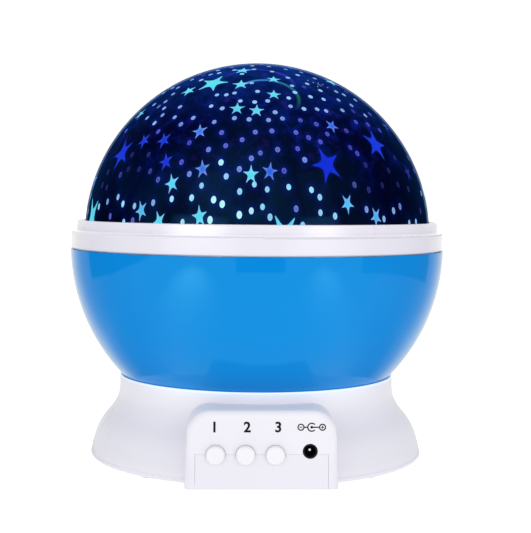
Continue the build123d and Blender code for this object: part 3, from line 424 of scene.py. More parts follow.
DOTS = [
    (-29.8, 80.4), (-41.9, 69.3), (9.1, 67.0), (-40.9, 65.0), (28.5, 64.7), (41.4, 62.9), (18.0, 61.9),
    (-53.2, 61.7), (-41.9, 60.6), (28.3, 58.1), (37.4, 57.6), (-55.8, 56.4), (17.2, 56.2), (45.5, 54.4),
    (33.3, 54.2), (49.7, 52.9), (-2.3, 52.4), (-52.2, 52.4), (16.8, 52.3), (-75.0, 51.7), (-13.7, 51.5),
    (-22.3, 50.6), (-17.5, 50.6), (56.2, 50.6), (24.1, 50.3), (40.3, 49.5), (30.7, 49.3), (12.4, 49.2),
    (-51.8, 48.4), (-60.3, 47.4), (46.8, 47.3), (-53.6, 46.0), (-38.5, 45.2),
    (12.1, 45.2), (-22.6, 45.1), (-48.2, 45.0), (37.5, 44.4), (44.3, 44.4), (24.0, 44.3), (28.1, 43.7), (17.8, 44.2),
    (-17.2, 44.0), (57.0, 43.9), (51.3, 42.9), (5.0, 42.4), (-45.7, 41.8), (-55.4, 41.0), (-37.8, 40.6),
    (-28.5, 40.1), (-11.2, 39.8), (7.6, 39.8), (41.1, 39.6), (-5.4, 39.3), (14.7, 39.3), (48.2, 38.9),
    (-18.9, 38.3), (20.9, 37.9), (-32.9, 37.6), (54.5, 36.9), (-67.2, 36.2), (33.3, 35.8), (-42.4, 35.0),
    (3.1, 34.9), (11.9, 34.5), (-15.1, 34.2), (24.1, 34.2), (16.3, 32.7), (-7.4, 31.6), (20.4, 31.3),
    (-26.4, 30.6), (32.0, 29.6), (-12.9, 29.5), (11.6, 28.7), (4.7, 28.3), (-18.7, 28.2), (34.3, 27.6),
    (-1.1, 27.1), (-51.0, 26.8), (-42.2, 26.7), (54.7, 26.7), (-4.0, 25.3), (13.5, 25.0), (-27.5, 24.0),
    (36.4, 23.8), (-63.5, 21.0), (47.3, 22.2), (-50.0, 21.9), (-44.4, 21.8), (-7.7, 21.8),
    (6.4, 21.4), (-39.1, 21.1), (-23.9, 20.2), (-53.6, 20.0), (-11.7, 19.5), (-35.0, 18.4), (50.5, 17.6),
    (29.9, 17.3), (41.8, 17.3), (-64.8, 16.7), (-19.3, 16.6), (7.6, 16.4), (57.0, 16.3), (-60.4, 15.9),
    (35.3, 15.8), (1.0, 15.6), (14.7, 15.6), (-7.3, 14.9), (17.2, 13.4), (-51.7, 12.9), (-22.1, 12.9),
    (-28.8, 12.5), (-57.6, 11.4), (-35.4, 11.3), (-48.5, 10.8), (49.1, 10.7),
    (-0.4, 10.4), (-42.9, 10.2), (9.6, 9.9), (33.3, 9.8), (45.3, 9.4), (-3.7, 9.2), (64.2, 9.2), (17.1, 8.8),
    (21.8, 7.8), (1.8, 7.4), (-54.6, 6.9), (40.3, 6.9), (-2.9, 17.1),
    (-24.5, 5.6), (-47.1, 5.2), (-43.0, 5.7), (11.5, 5.0), (58.8, 5.8), (53.8, 5.5),
    (-5.8, 57.5), (-63.0, 56.7), (-66.6, 53.9), (57.2, 55.1), (24.1, 55.8), (2.3, 47.5), (-10.0, 47.4), (-3.5, 46.9),
    (2.1, 39.1), (-47.4, 38.5), (-2.9, 34.4), (-63.6, 9.8), (-31.2, 72.3), (-23.6, 68.7), (-14.0, 64.5), (-9.3, 74.4),
    (-6.0, 69.3), (-34.5, 66.1), (-48.0, 64.8),
]
BRIGHT_DOTS = [(-15.1, 12.4), (-12.4, 11.1), (-13.8, 23.9), (-15.9, 6.4), (-7.2, 8.0)]
OWN = {(9.6, 9.9): (0.9, 0.42), (33.3, 9.8): (0.95, 0.56), (34.3, 27.6): (0.85, 0.14), (32.0, 29.6): (0.8, 0.1),
       (-35.0, 18.4): (0.72, 0.40), (-23.9, 20.2): (0.9, 0.5), (-53.6, 46.0): (0.62, 0.62), (37.4, 57.6): (0.6, 0.6),
       (44.3, 44.4): (0.5, 0.3), (64.2, 9.2): (0.42, 0.25), (-53.6, 20.0): (0.6, 0.3), (24.1, 55.8): (0.5, 0.5), (-47.4, 38.5): (1.0, 0.78), (-35.4, 11.3): (0.95, 0.7),
       (57.2, 55.1): (0.45, 0.45), (45.5, 54.4): (1.0, 0.8), (-31.2, 72.3): (0.65, 0.6), (-43.0, 5.7): (0.75, 0.45), (57.0, 43.9): (0.68, 0.5),
       (6.4, 21.4): (0.8, 0.35), (-51.7, 12.9): (1.0, 0.80), (-48.5, 10.8): (1.0, 0.84), (13.5, 25.0): (1.05, 0.5),
       (-48.0, 64.8): (0.5, 0.5), (-54.6, 6.9): (0.8, 0.55)}
TINY = [(34.4, 59.4), (38.1, 59.2), (34.1, 56.6), (40.9, 58.6), (41.9, 56.6), (31.6, 60.6), (36.2, 57.9)]


def stretch_at(c):
    """The windows lengthen down the dome, as a sheet drawn over it would."""
    return max(c / sin(c), 1.0) ** 1.05


def plane_of(az, el):
    rho = radians(90 - el) * DR
    return (rho * sin(radians(az)), -rho * cos(radians(az)))


def unit_star(ratio=0.42):
    pts = []
    for k in range(5):
        a0 = 72 * k
        for da, r in ((-36, ratio), (-11.5, 0.585), (-1.3, 0.985), (1.3, 0.985), (11.5, 0.585)):
            pts.append((r * cos(radians(a0 + da)), r * sin(radians(a0 + da))))
    return pts


def unit_dot(n=14):
    return [(cos(2 * pi * k / n), sin(2 * pi * k / n)) for k in range(n)]


class Window:
    def __init__(self, az, el, size, turn, kind, tone, hue):
        self.kind, self.size, self.tone, self.hue, self.el, self.az = kind, size, tone, hue, el, az
        c = max(radians(90 - el), 0.05)
        self.c = c
        st = stretch_at(c) if kind != "tiny" else 1.0
        lat = c / sin(c)
        px, py = plane_of(az, el)
        self.px, self.py = px, py
        # east and north in the plane, in mm of the plane per mm on the dome
        self.e = (cos(radians(az)) * lat, sin(radians(az)) * lat)
        self.n = (-sin(radians(az)) * st, cos(radians(az)) * st)
        shape = unit_dot() if kind in ("dot", "tiny") else unit_star()
        t = radians(turn)
        self.local = [(x * cos(t) - y * sin(t), x * sin(t) + y * cos(t)) for x, y in shape]
        det = self.e[0] * self.n[1] - self.e[1] * self.n[0]
        self.inv = (self.n[1] / det, -self.n[0] / det, -self.e[1] / det, self.e[0] / det)
        self.reach = (size + 1.8) * max(st, lat) * 1.5

    def at(self, x, y):
        """Plane point of a local one, in window sizes."""
        x, y = x * self.size, y * self.size
        return (self.px + x * self.e[0] + y * self.n[0], self.py + x * self.e[1] + y * self.n[1])

    def to_local(self, u, v):
        u, v = u - self.px, v - self.py
        return ((self.inv[0] * u + self.inv[1] * v) / self.size, (self.inv[2] * u + self.inv[3] * v) / self.size)

    def ring(self, k):
        return [self.at(x * k, y * k) for x, y in self.local]

    def grown(self, d):
        """The outline moved outwards by d mm."""
        k = d / self.size
        out = []
        for x, y in self.local:
            r = hypot(x, y)
            out.append(self.at(x * (1 + k / max(r, 0.5)), y * (1 + k / max(r, 0.5))))
        return out

    def share(self, u, v):
        """Distance from the centre over the outline's distance in that direction."""
        x, y = self.to_local(u, v)
        r = hypot(x, y)
        if r < 1e-3:
            return 0.0
        if self.kind in ("dot", "tiny"):
            return r
        best = 9.0
        n = len(self.local)
        for i in range(n):
            ax, ay = self.local[i]
            bx, by = self.local[(i + 1) % n]
            dx, dy = bx - ax, by - ay
            den = x * dy - y * dx
            if abs(den) < 1e-9:
                continue
            s = (ax * dy - ay * dx) / den
            w = (ax * y - ay * x) / den
            if s > 0 and -0.0001 <= w <= 1.0001:
                best = min(best, s)
        return 1.0 / best if best < 9 else 9.0


def between(x, *stops):
    """Piecewise linear value of x."""
    if x <= stops[0][0]:
        return stops[0][1]
    for (a, va), (b, vb) in zip(stops[:-1], stops[1:]):
        if x <= b:
            return va + (vb - va) * (x - a) / (b - a)
    return stops[-1][1]


def star_hue(el):
    return between(el, (8, 0.8), (15, 0.85), (20, 0.3), (30, 0.05), (36, 0.35), (42, 0.95), (50, 1.0))


def star_tone(az, el):
    return between(az, (-80, 0.8), (-62, 0.95), (54, 1.0), (60, 0.35), (75, 0.5), (90, 0.8)) if el < 50 else 1.0


def dot_hue(az, el):
    """0 violet-blue, 0.5 blue, 0.8 sky, 1 pale cyan: the lamps' own colours meet on the dome in belts."""
    h = between(el, (8, 1.0), (13, 0.94), (18, 0.86), (20.5, 0.62), (23, 0.36), (26, 0.24), (33, 0.20), (37, 0.5),
                (41, 0.74), (55, 0.80), (80, 0.78))
    h -= 0.12 * between(abs(az + 3), (30, 0), (50, 1)) * (1 if el > 10 else 0)
    h -= 0.16 * between(az, (-6, 0), (6, 1)) * between(el, (9, 1), (12, 0))
    h -= 0.22 * between(az, (4, 0), (10, 1), (52, 1), (60, 0)) * between(el, (36, 0), (38, 1), (41, 1), (43.5, 0))
    h += 0.17 * between(az, (-27, 0), (-19, 1), (4, 1), (16, 0)) * between(el, (22, 0), (25, 1), (33, 1), (36, 0))
    return h - 0.12 * between(abs(az + 3), (37, 0), (46, 1)) * between(el, (12, 1), (15, 0))


def dot_tone(az, el):
    belt = between(el, (9, 0.0), (14, 1.0), (30, 1.0), (42, 0.0))
    right = between(az, (24, 0.0), (31, 0.8), (43, 1.0), (75, 1.0), (95, 0.0)) * between(el, (22, 1.0), (32, 0.62))
    left = between(-az, (34, 0.0), (42, 1.0), (75, 1.0), (95, 0.0)) * between(el, (12, 0.3), (16, 1.0), (26, 1.0), (32, 0))
    k = 1 - 0.88 * belt * max(right, left * 0.94)
    k *= 1 - 0.20 * between(az, (4, 0), (12, 1), (60, 1), (80, 0)) * between(el, (34, 0), (38, 1), (42, 1), (44, 0))
    return k * between(el, (12, 0.98), (17, 1.0), (25, 0.94), (34, 0.94), (40, 1.02))


def all_windows():
    rng = random.Random(11)
    wins = []

    def tone():
        return rng.uniform(0.86, 1.1)

    for az, el, r, turn, hue in BIG_STARS + SMALL_STARS:
        wins.append(Window(az, el, r, turn, "star", star_tone(az, el), hue))
    for az, el in DOTS:
        k, hue = OWN.get((az, el), (dot_tone(az, el), dot_hue(az, el)))
        spread, own = (0.10 if abs(az + 3) > 36 and el < 14 else 0.05), rng.uniform(-1, 1)
        wins.append(Window(az, el, rng.uniform(0.70, 0.79), 0, "dot", k * (1 + 0.07 * own),
                           hue * (0.1 + 0.9 * k if k < 0.9 else 1) + spread * own))
    for az, el in BRIGHT_DOTS:
        wins.append(Window(az, el, 0.84, 0, "dot", 1.12, 1.12))
    for az, el in TINY:
        wins.append(Window(az, el, 0.26, 0, "tiny", 0.9, 0.8))
    # the rest of the dome in the same mix
    def unit(az, el):
        a, e = radians(az), radians(el)
        return Vector((cos(e) * sin(a), -cos(e) * cos(a), sin(e)))

    def free(az, el, gap_of):
        p = unit(az, el)
        for w in wins:
            d = p.angle(unit(w.az, w.el)) * DR
            if d < gap_of(w):
                return False
        return True

    def scatter(n, az_lo, az_hi, el_lo, el_hi, size, kind, gap_of, turn_of):
        made = tries = 0
        while made < n and tries < 40000:
            tries += 1
            az = rng.uniform(az_lo, az_hi)
            el = degrees(asin(rng.uniform(sin(radians(el_lo)), sin(radians(el_hi)))))
            if free(az, el, gap_of):
                hue = (star_hue(el) if kind == "star" else dot_hue(az, el)) + rng.uniform(-0.1, 0.1)
                dim = 0.8 if kind == "star" else 0.7
                wins.append(Window(az, el, size(), turn_of(az), kind, tone() * dim, hue))
                made += 1

    small, big = (lambda: rng.uniform(2.3, 2.6)), (lambda: rng.uniform(4.5, 5.2))
    scatter(6, 82, 283, 8, 62, big, "star", lambda w: 30 if w.size > 3.5 else 8.5 if w.size > 2 else 5.5,
            lambda az: 54 - az)
    scatter(34, 72, 288, 6, 78, small, "star", lambda w: 10.5 if w.size > 3.5 else 9.5 if w.size > 2 else 3.9,
            lambda az: 13 - az)
    scatter(260, 66, 286, 5.5, 82, lambda: rng.uniform(0.70, 0.79), "dot",
            lambda w: 5.7 if w.size > 3.5 else 3.9 if w.size > 2 else 4.4, lambda az: 0)
    scatter(34, -60, 66, 66, 88, lambda: rng.uniform(0.64, 0.76), "dot",
            lambda w: 5.9 if w.size > 3.5 else 4.2 if w.size > 2 else 5.2, lambda az: 0)
    return wins


def dome_sheet(wins, c_max, spacing, rings, seg):
    """Triangles of the dome in its flat plan, with windows cut along their outlines.
    Returns plan points, triangles, a window number for each triangle (or -1)."""
    rho_max = c_max * DR
    pts, edges = [], []

    def loop(ps):
        i0 = len(pts)
        pts.extend(Vector(p) for p in ps)
        n = len(ps)
        edges.extend((i0 + i, i0 + (i + 1) % n) for i in range(n))

    loop([(rho_max * sin(2 * pi * k / seg), -rho_max * cos(2 * pi * k / seg)) for k in range(seg)])
    for w in wins:
        loop(w.ring(1.0))
        if rings:
            if w.kind != "tiny":
                loop(w.ring(0.6 if w.kind == "dot" else 0.66))
                loop(w.grown(0.5))
                loop(w.grown(1.5))
            pts.append(Vector((w.px, w.py)))
    cell = 7.0
    grid = {}
    for i, w in enumerate(wins):
        k = int(w.reach // cell) + 1
        cx, cy = int(w.px // cell), int(w.py // cell)
        for a in range(cx - k, cx + k + 1):
            for b in range(cy - k, cy + k + 1):
                grid.setdefault((a, b), []).append(i)

    def near(u, v):
        return [wins[i] for i in grid.get((int(u // cell), int(v // cell)), ())
                if abs(wins[i].px - u) < wins[i].reach and abs(wins[i].py - v) < wins[i].reach]

    row = 0
    v = -rho_max
    while v < rho_max:
        u = -rho_max + (spacing / 2 if row % 2 else 0)
        while u < rho_max:
            if hypot(u, v) < rho_max - 0.7:
                if not any(w.share(u, v) < 1.0 + 1.9 / w.size for w in near(u, v)):
                    pts.append(Vector((u, v)))
            u += spacing
        v += spacing * 0.866
        row += 1
    out = delaunay_2d_cdt(pts, edges, [], 0, 1e-5, False)
    vs, fs = out[0], out[2]
    keep, marks = [], []
    lim = rho_max * 0.99985
    for f in fs:
        u = sum(vs[i][0] for i in f) / len(f)
        v = sum(vs[i][1] for i in f) / len(f)
        if hypot(u, v) > lim:
            continue
        hit = -1
        for w in near(u, v):
            if w.share(u, v) < 1.0:
                hit = w.number
                break
        keep.append(tuple(f))
        marks.append(hit)
    return vs, keep, marks, near


def on_sphere(u, v, r, rim=None):
    rho = hypot(u, v)
    c = rho / DR
    if rho < 1e-9:
        return Vector((0, 0, DC + r)), Vector((0, 0, 1))
    s = sin(c) / rho
    n = Vector((s * u, s * v, cos(c)))
    return Vector((n.x * r, n.y * r, DC + n.z * r)), n


def dome_body_material():
    t = Tree("dome_plastic")
    t.bsdf.inputs["IOR"].default_value = 1.0
    t.bsdf.inputs["Specular Tint"].default_value = (0.004, 0.08, 0.17, 1)
    skim = t.add("ShaderNodeLayerWeight").outputs["Facing"]
    t.put(t.bsdf, "Metallic", t.span(skim, 0.875, 0.955, 1.0, 0.0, smooth=True))
    t.bsdf.inputs["Sheen Weight"].default_value = 0.15
    t.bsdf.inputs["Sheen Roughness"].default_value = 0.35
    t.bsdf.inputs["Sheen Tint"].default_value = (0.02, 0.18, 0.55, 1)
    fine = t.noise(900, 3, 0.6)
    cloud = t.noise(40, 3, 0.6)
    t.put(t.bsdf, "Base Color", t.mix(t.span(cloud, 0.3, 0.7), (0.0006, 0.0030, 0.0080, 1), (0.0009, 0.0040, 0.0100, 1)))
    t.put(t.bsdf, "Roughness", t.math("ADD", t.span(cloud, 0.3, 0.7, 0.05, 0.08), t.span(fine, 0.55, 0.8, 0, 0.03)))
    x, y, z = t.xyz()
    # light that leaks through the dark shell: soft blue and violet patches, more of it high up
    high = t.span(z, 0.090, 0.118, smooth=True)
    p1 = t.span(t.noise(170, 5, 0.65, distortion=0.3), 0.50, 0.72, smooth=True)
    p2 = t.span(t.noise(300, 4, 0.65, distortion=0.3), 0.54, 0.78, smooth=True)
    painted_teal_reflection = t.span(t.noise(38, 2, 0.5), 0.42, 0.72, smooth=True)
    glow = t.plus(
        t.scaled((0.0003, 0.0009, 0.0135, 1), t.span(z, 0.080, 0.132, 0.40, 1.6)),
        t.scaled((0.0026, 0.0190, 0.1500, 1), t.math("MULTIPLY", t.math("POWER", t.span(z, 0.1120, 0.1370), 1.6),
                                                     t.span(t.noise(150, 4, 0.6), 0.35, 0.68, 0.45, 1.5))),
        t.scaled((0.0014, 0.0060, 0.125, 1), t.math("MULTIPLY", p1, t.math("MULTIPLY_ADD", high, 0.92, 0.08))),
        t.scaled((0.0140, 0.0016, 0.095, 1), t.math("MULTIPLY", p2, t.math("MULTIPLY_ADD", high, 0.85, 0.08))),
        # faint teal patches low on the shell: painted reflection in the emission
        t.scaled((0.0004, 0.0060, 0.020, 1), t.math("MULTIPLY", painted_teal_reflection, t.span(z, 0.110, 0.086, 0.15, 1.0))),
        t.scaled((0.0016, 0.0060, 0.150, 1), t.math("MULTIPLY", t.attr("halo"), t.span(
            t.math("ABSOLUTE", t.math("SUBTRACT", z, 0.108)), 0.010, 0.026, 1.0, 0.40))),
    )
    # a paler patch with a dark round spot low in front: painted reflection in the emission
    def toward(az, el, wide, narrow):
        n = (cos(radians(el)) * sin(radians(az)), -cos(radians(el)) * cos(radians(az)), sin(radians(el)))
        d = t.dot(t.obj, n, (0, 0, DC * MM))
        return t.span(d, DR * MM * cos(radians(wide)), DR * MM * cos(radians(narrow)), smooth=True)

    spot = t.math("SUBTRACT", 1.0, toward(-4.2, 13.6, 6.2, 4.6))
    glow = t.plus(glow, t.scaled((0.0006, 0.0052, 0.0125, 1), t.math("MULTIPLY", toward(-7.0, 16.0, 17.0, 8.0), spot)))
    # two curved reflections of the lamp's rim inside the shell
    def arc(n, d, half, mid, r, lo, hi):
        q = t.math("SUBTRACT", t.dot(t.obj, n, (0, 0, DC * MM)), d * MM)
        band = t.span(t.math("ABSOLUTE", q), 0.0, half * MM, 1, 0, smooth=True)
        side = t.math("DIVIDE", t.dot(t.obj, mid, (0, 0, DC * MM)), r * MM)
        return t.math("MULTIPLY", band, t.span(side, lo, hi, smooth=True))

    east = Vector((1, 0.03, 0)).normalized()
    n_a = Vector((0.0189, -0.651, 0.7588)).normalized()
    north_a = n_a.cross(east) * (1 if n_a.cross(east).z > 0 else -1)
    mid_a = (east * cos(radians(62)) + north_a * sin(radians(62))).normalized()
    a = arc(n_a, 59.73, 0.17, mid_a, 10.8, -0.10, 0.75)
    along = t.span(t.dot(t.obj, tuple(east), (0, 0, DC * MM)), -0.002, 0.011)
    a_col = t.mix(along, srgb(70, 150, 215), srgb(28, 112, 70))
    n_b = Vector((-0.0324, -0.5484, 0.8356)).normalized()
    north_b = n_b.cross(east) * (1 if n_b.cross(east).z > 0 else -1)
    mid_b = (east * cos(radians(72)) + north_b * sin(radians(72))).normalized()
    b = arc(n_b, 59.33, 0.20, mid_b, 12.8, 0.1, 0.8)
    glow = t.plus(glow, t.scaled(a_col, t.math("MULTIPLY", a, 0.85)), t.scaled(srgb(58, 38, 190), t.math("MULTIPLY", b, 0.8)))
    t.put(t.bsdf, "Emission Color", glow)
    t.bsdf.inputs["Emission Strength"].default_value = 1.0
    t.bump(fine, 0.01, 0.00005)
    return t.mat


def window_material(name, core, rim):
    """Clear plastic lit from behind, paler or darker towards the window's edge, uneven as a moulded skin is."""
    t = Tree(name)
    cloud = t.noise(420, 3, 0.6)
    place = t.math("ADD", t.attr("hue"), t.span(t.noise(150, 2, 0.5), 0.3, 0.7, -0.03, 0.03))
    c = t.mix(t.attr("edge"), t.ramp(place, core), t.ramp(place, rim))
    k = t.math("MULTIPLY", t.attr("tone"), t.span(cloud, 0.3, 0.7, 0.90, 1.08))
    t.put(t.bsdf, "Base Color", (0.003, 0.006, 0.016, 1))
    t.put(t.bsdf, "Roughness", t.span(cloud, 0.3, 0.7, 0.10, 0.22))
    t.bsdf.inputs["IOR"].default_value = 1.03
    t.put(t.bsdf, "Emission Color", t.scaled(c, k))
    t.bsdf.inputs["Emission Strength"].default_value = 1.0
    t.bump(cloud, 0.05, 0.00005)
    return t.mat


star_core = [(0.0, srgb(10, 40, 214)), (0.12, srgb(18, 56, 218)), (0.42, srgb(46, 124, 236)), (0.75, srgb(84, 196, 240)),
             (1.0, srgb(94, 224, 242))]
star_rim = [(0.0, srgb(38, 58, 214)), (0.12, srgb(52, 78, 220)), (0.42, srgb(138, 168, 236)),
            (0.75, srgb(118, 196, 240)), (1.0, srgb(122, 218, 244))]
dot_core = [(0.0, srgb(48, 40, 168)), (0.3, srgb(58, 60, 196)), (0.5, srgb(92, 128, 216)), (0.8, srgb(128, 192, 232)),
            (0.95, srgb(136, 222, 238)), (1.0, srgb(160, 232, 242)), ]
dot_rim = [(0.0, srgb(84, 72, 204)), (0.3, srgb(108, 112, 226)), (0.5, srgb(140, 164, 232)),
           (0.8, srgb(164, 208, 240)), (0.95, srgb(150, 226, 240)), (1.0, srgb(190, 242, 246))]


def build_dome():
    wins = all_windows()
    for i, w in enumerate(wins):
        w.number = i
    seg = 240
    verts, normals, halo, edge, tone, hue, faces, slots = [], [], [], [], [], [], [], []

    def sheet(c_max, r, rings, spacing, inward):
        vs, fs, marks, near = dome_sheet(wins, c_max, spacing, rings, seg)
        base = len(verts)
        for p in vs:
            u, v = p[0], p[1]
            q, n = on_sphere(u, v, r)
            h = e = 0.0
            k, t = 1.0, 0.5
            best = 9.0
            for w in near(u, v):
                share = w.share(u, v)
                d = max(0.0, (share - 1.0) * w.size * 0.85)
                if share < best:
                    best, k, t = share, w.tone, w.hue
                if share <= 1.02:
                    g = hypot(*w.to_local(u, v))
                    if w.kind == "star":
                        e = (max(0.0, min(1.0, (g - 0.40) / 0.6)) * 0.25 if w.size > 3.5
                             else max(0.0, min(1.0, (g - 0.24) / 0.5)))
                    else:
                        e = min(1.0, g) ** 2
                if d < 1.8:
                    glow = exp(-d / 0.62) - 0.055
                    h = max(h, glow * min(w.tone, 1.0) * (1.0 if w.kind == "star" else 0.8 if w.kind == "dot" else 0.3))
            depth = 0.0
            if best < 0.8 and rings:
                depth = 0.10
            verts.append((q - n * depth) if not inward else q)
            normals.append(-n if inward else n)
            halo.append(max(h, 0.0))
            edge.append(e)
            tone.append(k)
            hue.append(t)
        for f, m in zip(fs, marks):
            a, b, c = (base + i for i in f)
            pa, pb, pc = (verts[i] for i in (a, b, c))
            nn = (pb - pa).cross(pc - pa)
            if (nn.dot(normals[a]) < 0):
                a, b, c = a, c, b
            faces.append((a, b, c))
            slots.append(0 if m < 0 else (1 if wins[m].kind == "star" else 2))
        # rim points of this sheet in order of angle
        rho = c_max * DR
        rim = [i for i, p in enumerate(vs) if abs(hypot(p[0], p[1]) - rho) < 0.01]
        rim.sort(key=lambda i: atan2(vs[i][0], -vs[i][1]))
        return [base + i for i in rim], [atan2(vs[i][0], -vs[i][1]) for i in rim]

    rim_o, ang_o = sheet(C_OUT, DR, True, 2.1, False)
    rim_i, ang_i = sheet(C_IN, DRI, False, 3.2, True)

    def add_ring(angles, r, z, n_of):
        ids = []
        for a in angles:
            verts.append(Vector((r * sin(a), -r * cos(a), z)))
            normals.append(n_of(a))
            halo.append(0.0)
            edge.append(0.0)
            tone.append(1.0)
            hue.append(0.5)
            ids.append(len(verts) - 1)
        return ids

    def strip(ra, rb):
        n = len(ra)
        for i in range(n):
            faces.append((ra[i], rb[i], rb[(i + 1) % n], ra[(i + 1) % n]))
            slots.append(0)

    out_n = lambda a: Vector((sin(a), -cos(a), 0))
    up, down = (lambda a: Vector((0, 0, 1))), (lambda a: Vector((0, 0, -1)))
    r_o = DR * sin(C_OUT)
    # flange under the collar: top face, edge, underside
    a1 = add_ring(ang_o, r_o, OUT_Z, up)
    a2 = add_ring(ang_o, 61.6, OUT_Z, up)
    a3 = add_ring(ang_o, 61.6, OUT_Z, out_n)
    a4 = add_ring(ang_o, 61.6, IN_Z, out_n)
    strip(a2, a1)
    strip(a4, a3)
    # underside ring joins the outer angles to the inner ones
    b1 = add_ring(ang_o, 61.6, IN_Z, down)
    b2 = add_ring(ang_o, DRI * sin(C_IN) + 0.4, IN_Z, down)
    strip(b2, b1)
    b3 = add_ring(ang_i, DRI * sin(C_IN), IN_Z, down)
    # fan between two rings with different counts
    i = j = 0
    n, m = len(b2), len(b3)
    while i < n or j < m:
        ai = ang_o[i % n] + (2 * pi if i >= n else 0)
        aj = ang_i[j % m] + (2 * pi if j >= m else 0)
        if j >= m or (i < n and ai <= aj):
            faces.append((b3[j % m], b2[i % n], b2[(i + 1) % n]))
            i += 1
        else:
            faces.append((b3[j % m], b2[i % n], b3[(j + 1) % m]))
            j += 1
        slots.append(0)

    mesh = bpy.data.meshes.new("lit_dome")
    mesh.from_pydata([tuple(v * MM) for v in verts], [], faces)
    mesh.update()
    for name, values in (("halo", halo), ("edge", edge), ("tone", tone), ("hue", hue)):
        a = mesh.attributes.new(name, "FLOAT", "POINT")
        a.data.foreach_set("value", values)
    for m_ in (dome_body_material(), window_material("dome_star_window", star_core, star_rim),
               window_material("dome_dot_window", dot_core, dot_rim)):
        mesh.materials.append(m_)
    mesh.polygons.foreach_set("material_index", slots)
    mesh.polygons.foreach_set("use_smooth", [True] * len(mesh.polygons))
    mesh.validate()
    if len(mesh.vertices) == len(normals):
        mesh.normals_split_custom_set_from_vertices([tuple(n_) for n_ in normals])
    ob = link_object(bpy.data.objects.new("lit_dome", mesh))
    print("dome", len(mesh.vertices), "points", len(mesh.polygons), "faces", len(wins), "windows")
    return ob


dome = build_dome()
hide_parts("star_dome")
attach(dome, "dome")

# ---------------------------------------------------------------------------
# finishes onto the carried-over pieces
# ---------------------------------------------------------------------------
slot_of = {s["node"]: s["material_slot"] for s in frame["record"]["subparts"]}
for name, ob in nodes.items():
    if name == "star_dome":
        continue
    mat = {"dc_jack": JACK, "base_shell": PAINTED_LIGHT_SHELL, "rim_ring": RING_PAINTED_SEAM, "dome_ring": RING_PAINTED_SEAM,
           "base_bottom": COVER, "battery_door": COVER}.get(name) or M[slot_of[name]]
    if not ob.material_slots:
        ob.data.materials.append(mat)
    for s in ob.material_slots:
        s.material = mat

# ---------------------------------------------------------------------------
# printed legends on the control panel
# ---------------------------------------------------------------------------
PANEL_Y, LEAN = -61.2, radians(2.0)
INK_T = 0.03


def panel_point(x, z, out):
    """A point over the panel's face, out mm in front of it."""
    y = PANEL_Y + (z - 1.5) * tan(LEAN)
    return Vector((x, y - out * cos(LEAN), z + out * sin(LEAN)))


ink = plastic("printed_ink", (0.0045, 0.0045, 0.007, 1), rough=0.5, vary=0.25, grain=1800, bump=0.05, ior=1.2, streak=0.05)


def inked(name, polys):
    """Flat shapes in panel coordinates, raised by the ink's thickness."""
    verts, faces = [], []
    for poly in polys:
        n = len(poly)
        i0 = len(verts)
        verts += [panel_point(x, z, INK_T) * MM for x, z in poly]
        verts += [panel_point(x, z, 0.004) * MM for x, z in poly]
        faces.append(tuple(range(i0, i0 + n)))
        faces += [(i0 + i, i0 + n + i, i0 + n + (i + 1) % n, i0 + (i + 1) % n) for i in range(n)]
    ob = mesh_object(name, verts, faces, [ink], smooth=False)
    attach(ob, "base")
    return ob


def figure(char, cx, cz, h):
    """A plain figure from Blender's own font, as a thin mesh on the panel."""
    cu = bpy.data.curves.new("fig", "FONT")
    cu.body = char
    cu.size = 1.0
    cu.align_x, cu.align_y = "CENTER", "CENTER"
    cu.resolution_u = 10
    cu.offset = 0.028
    ob = link_object(bpy.data.objects.new("fig", cu))
    bpy.context.view_layer.update()
    dg = bpy.context.evaluated_depsgraph_get()
    mesh = bpy.data.meshes.new_from_object(ob.evaluated_get(dg))
    bpy.data.objects.remove(ob)
    co = [v.co.copy() for v in mesh.vertices]
    lo_x, hi_x = min(c.x for c in co), max(c.x for c in co)
    lo_y, hi_y = min(c.y for c in co), max(c.y for c in co)
    k = h / (hi_y - lo_y)
    bm = bmesh.new()
    bm.from_mesh(mesh)
    bpy.data.meshes.remove(mesh)
    bmesh.ops.remove_doubles(bm, verts=bm.verts, dist=1e-5)
    top = bmesh.ops.extrude_face_region(bm, geom=bm.faces[:])
    moved = {v for v in top["geom"] if isinstance(v, bmesh.types.BMVert)}
    for v in bm.verts:
        x = cx + (v.co.x - (lo_x + hi_x) / 2) * k
        z = cz + (v.co.y - (lo_y + hi_y) / 2) * k
        v.co = panel_point(x, z, INK_T if v in moved else 0.004) * MM
    bmesh.ops.recalc_face_normals(bm, faces=bm.faces[:])
    out = bpy.data.meshes.new("legend_" + char)
    bm.to_mesh(out)
    bm.free()
    out.materials.append(ink)
    o = link_object(bpy.data.objects.new("legend_" + char, out))
    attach(o, "base")
    return o


for char, x in (("1", -14.75), ("2", -4.6), ("3", 5.0)):
    figure(char, x, 21.0, 3.35)


def stroke(points, w):
    """A line of width w through points, as one quad each."""
    out = []
    for (ax, az), (bx, bz) in zip(points[:-1], points[1:]):
        dx, dz = bx - ax, bz - az
        d = hypot(dx, dz)
        nx, nz = -dz / d * w / 2, dx / d * w / 2
        out.append([(ax + nx, az + nz), (ax - nx, az - nz), (bx - nx, bz - nz), (bx + nx, bz + nz)])
    return out


def arc_stroke(cx, cz, r, a0, a1, w, n=22):
    out = []
    for i in range(n):
        t0, t1 = radians(a0 + (a1 - a0) * i / n), radians(a0 + (a1 - a0) * (i + 1) / n)
        out.append([(cx + (r + w / 2) * cos(t0), cz + (r + w / 2) * sin(t0)),
                    (cx + (r - w / 2) * cos(t0), cz + (r - w / 2) * sin(t0)),
                    (cx + (r - w / 2) * cos(t1), cz + (r - w / 2) * sin(t1)),
                    (cx + (r + w / 2) * cos(t1), cz + (r + w / 2) * sin(t1))])
    return out


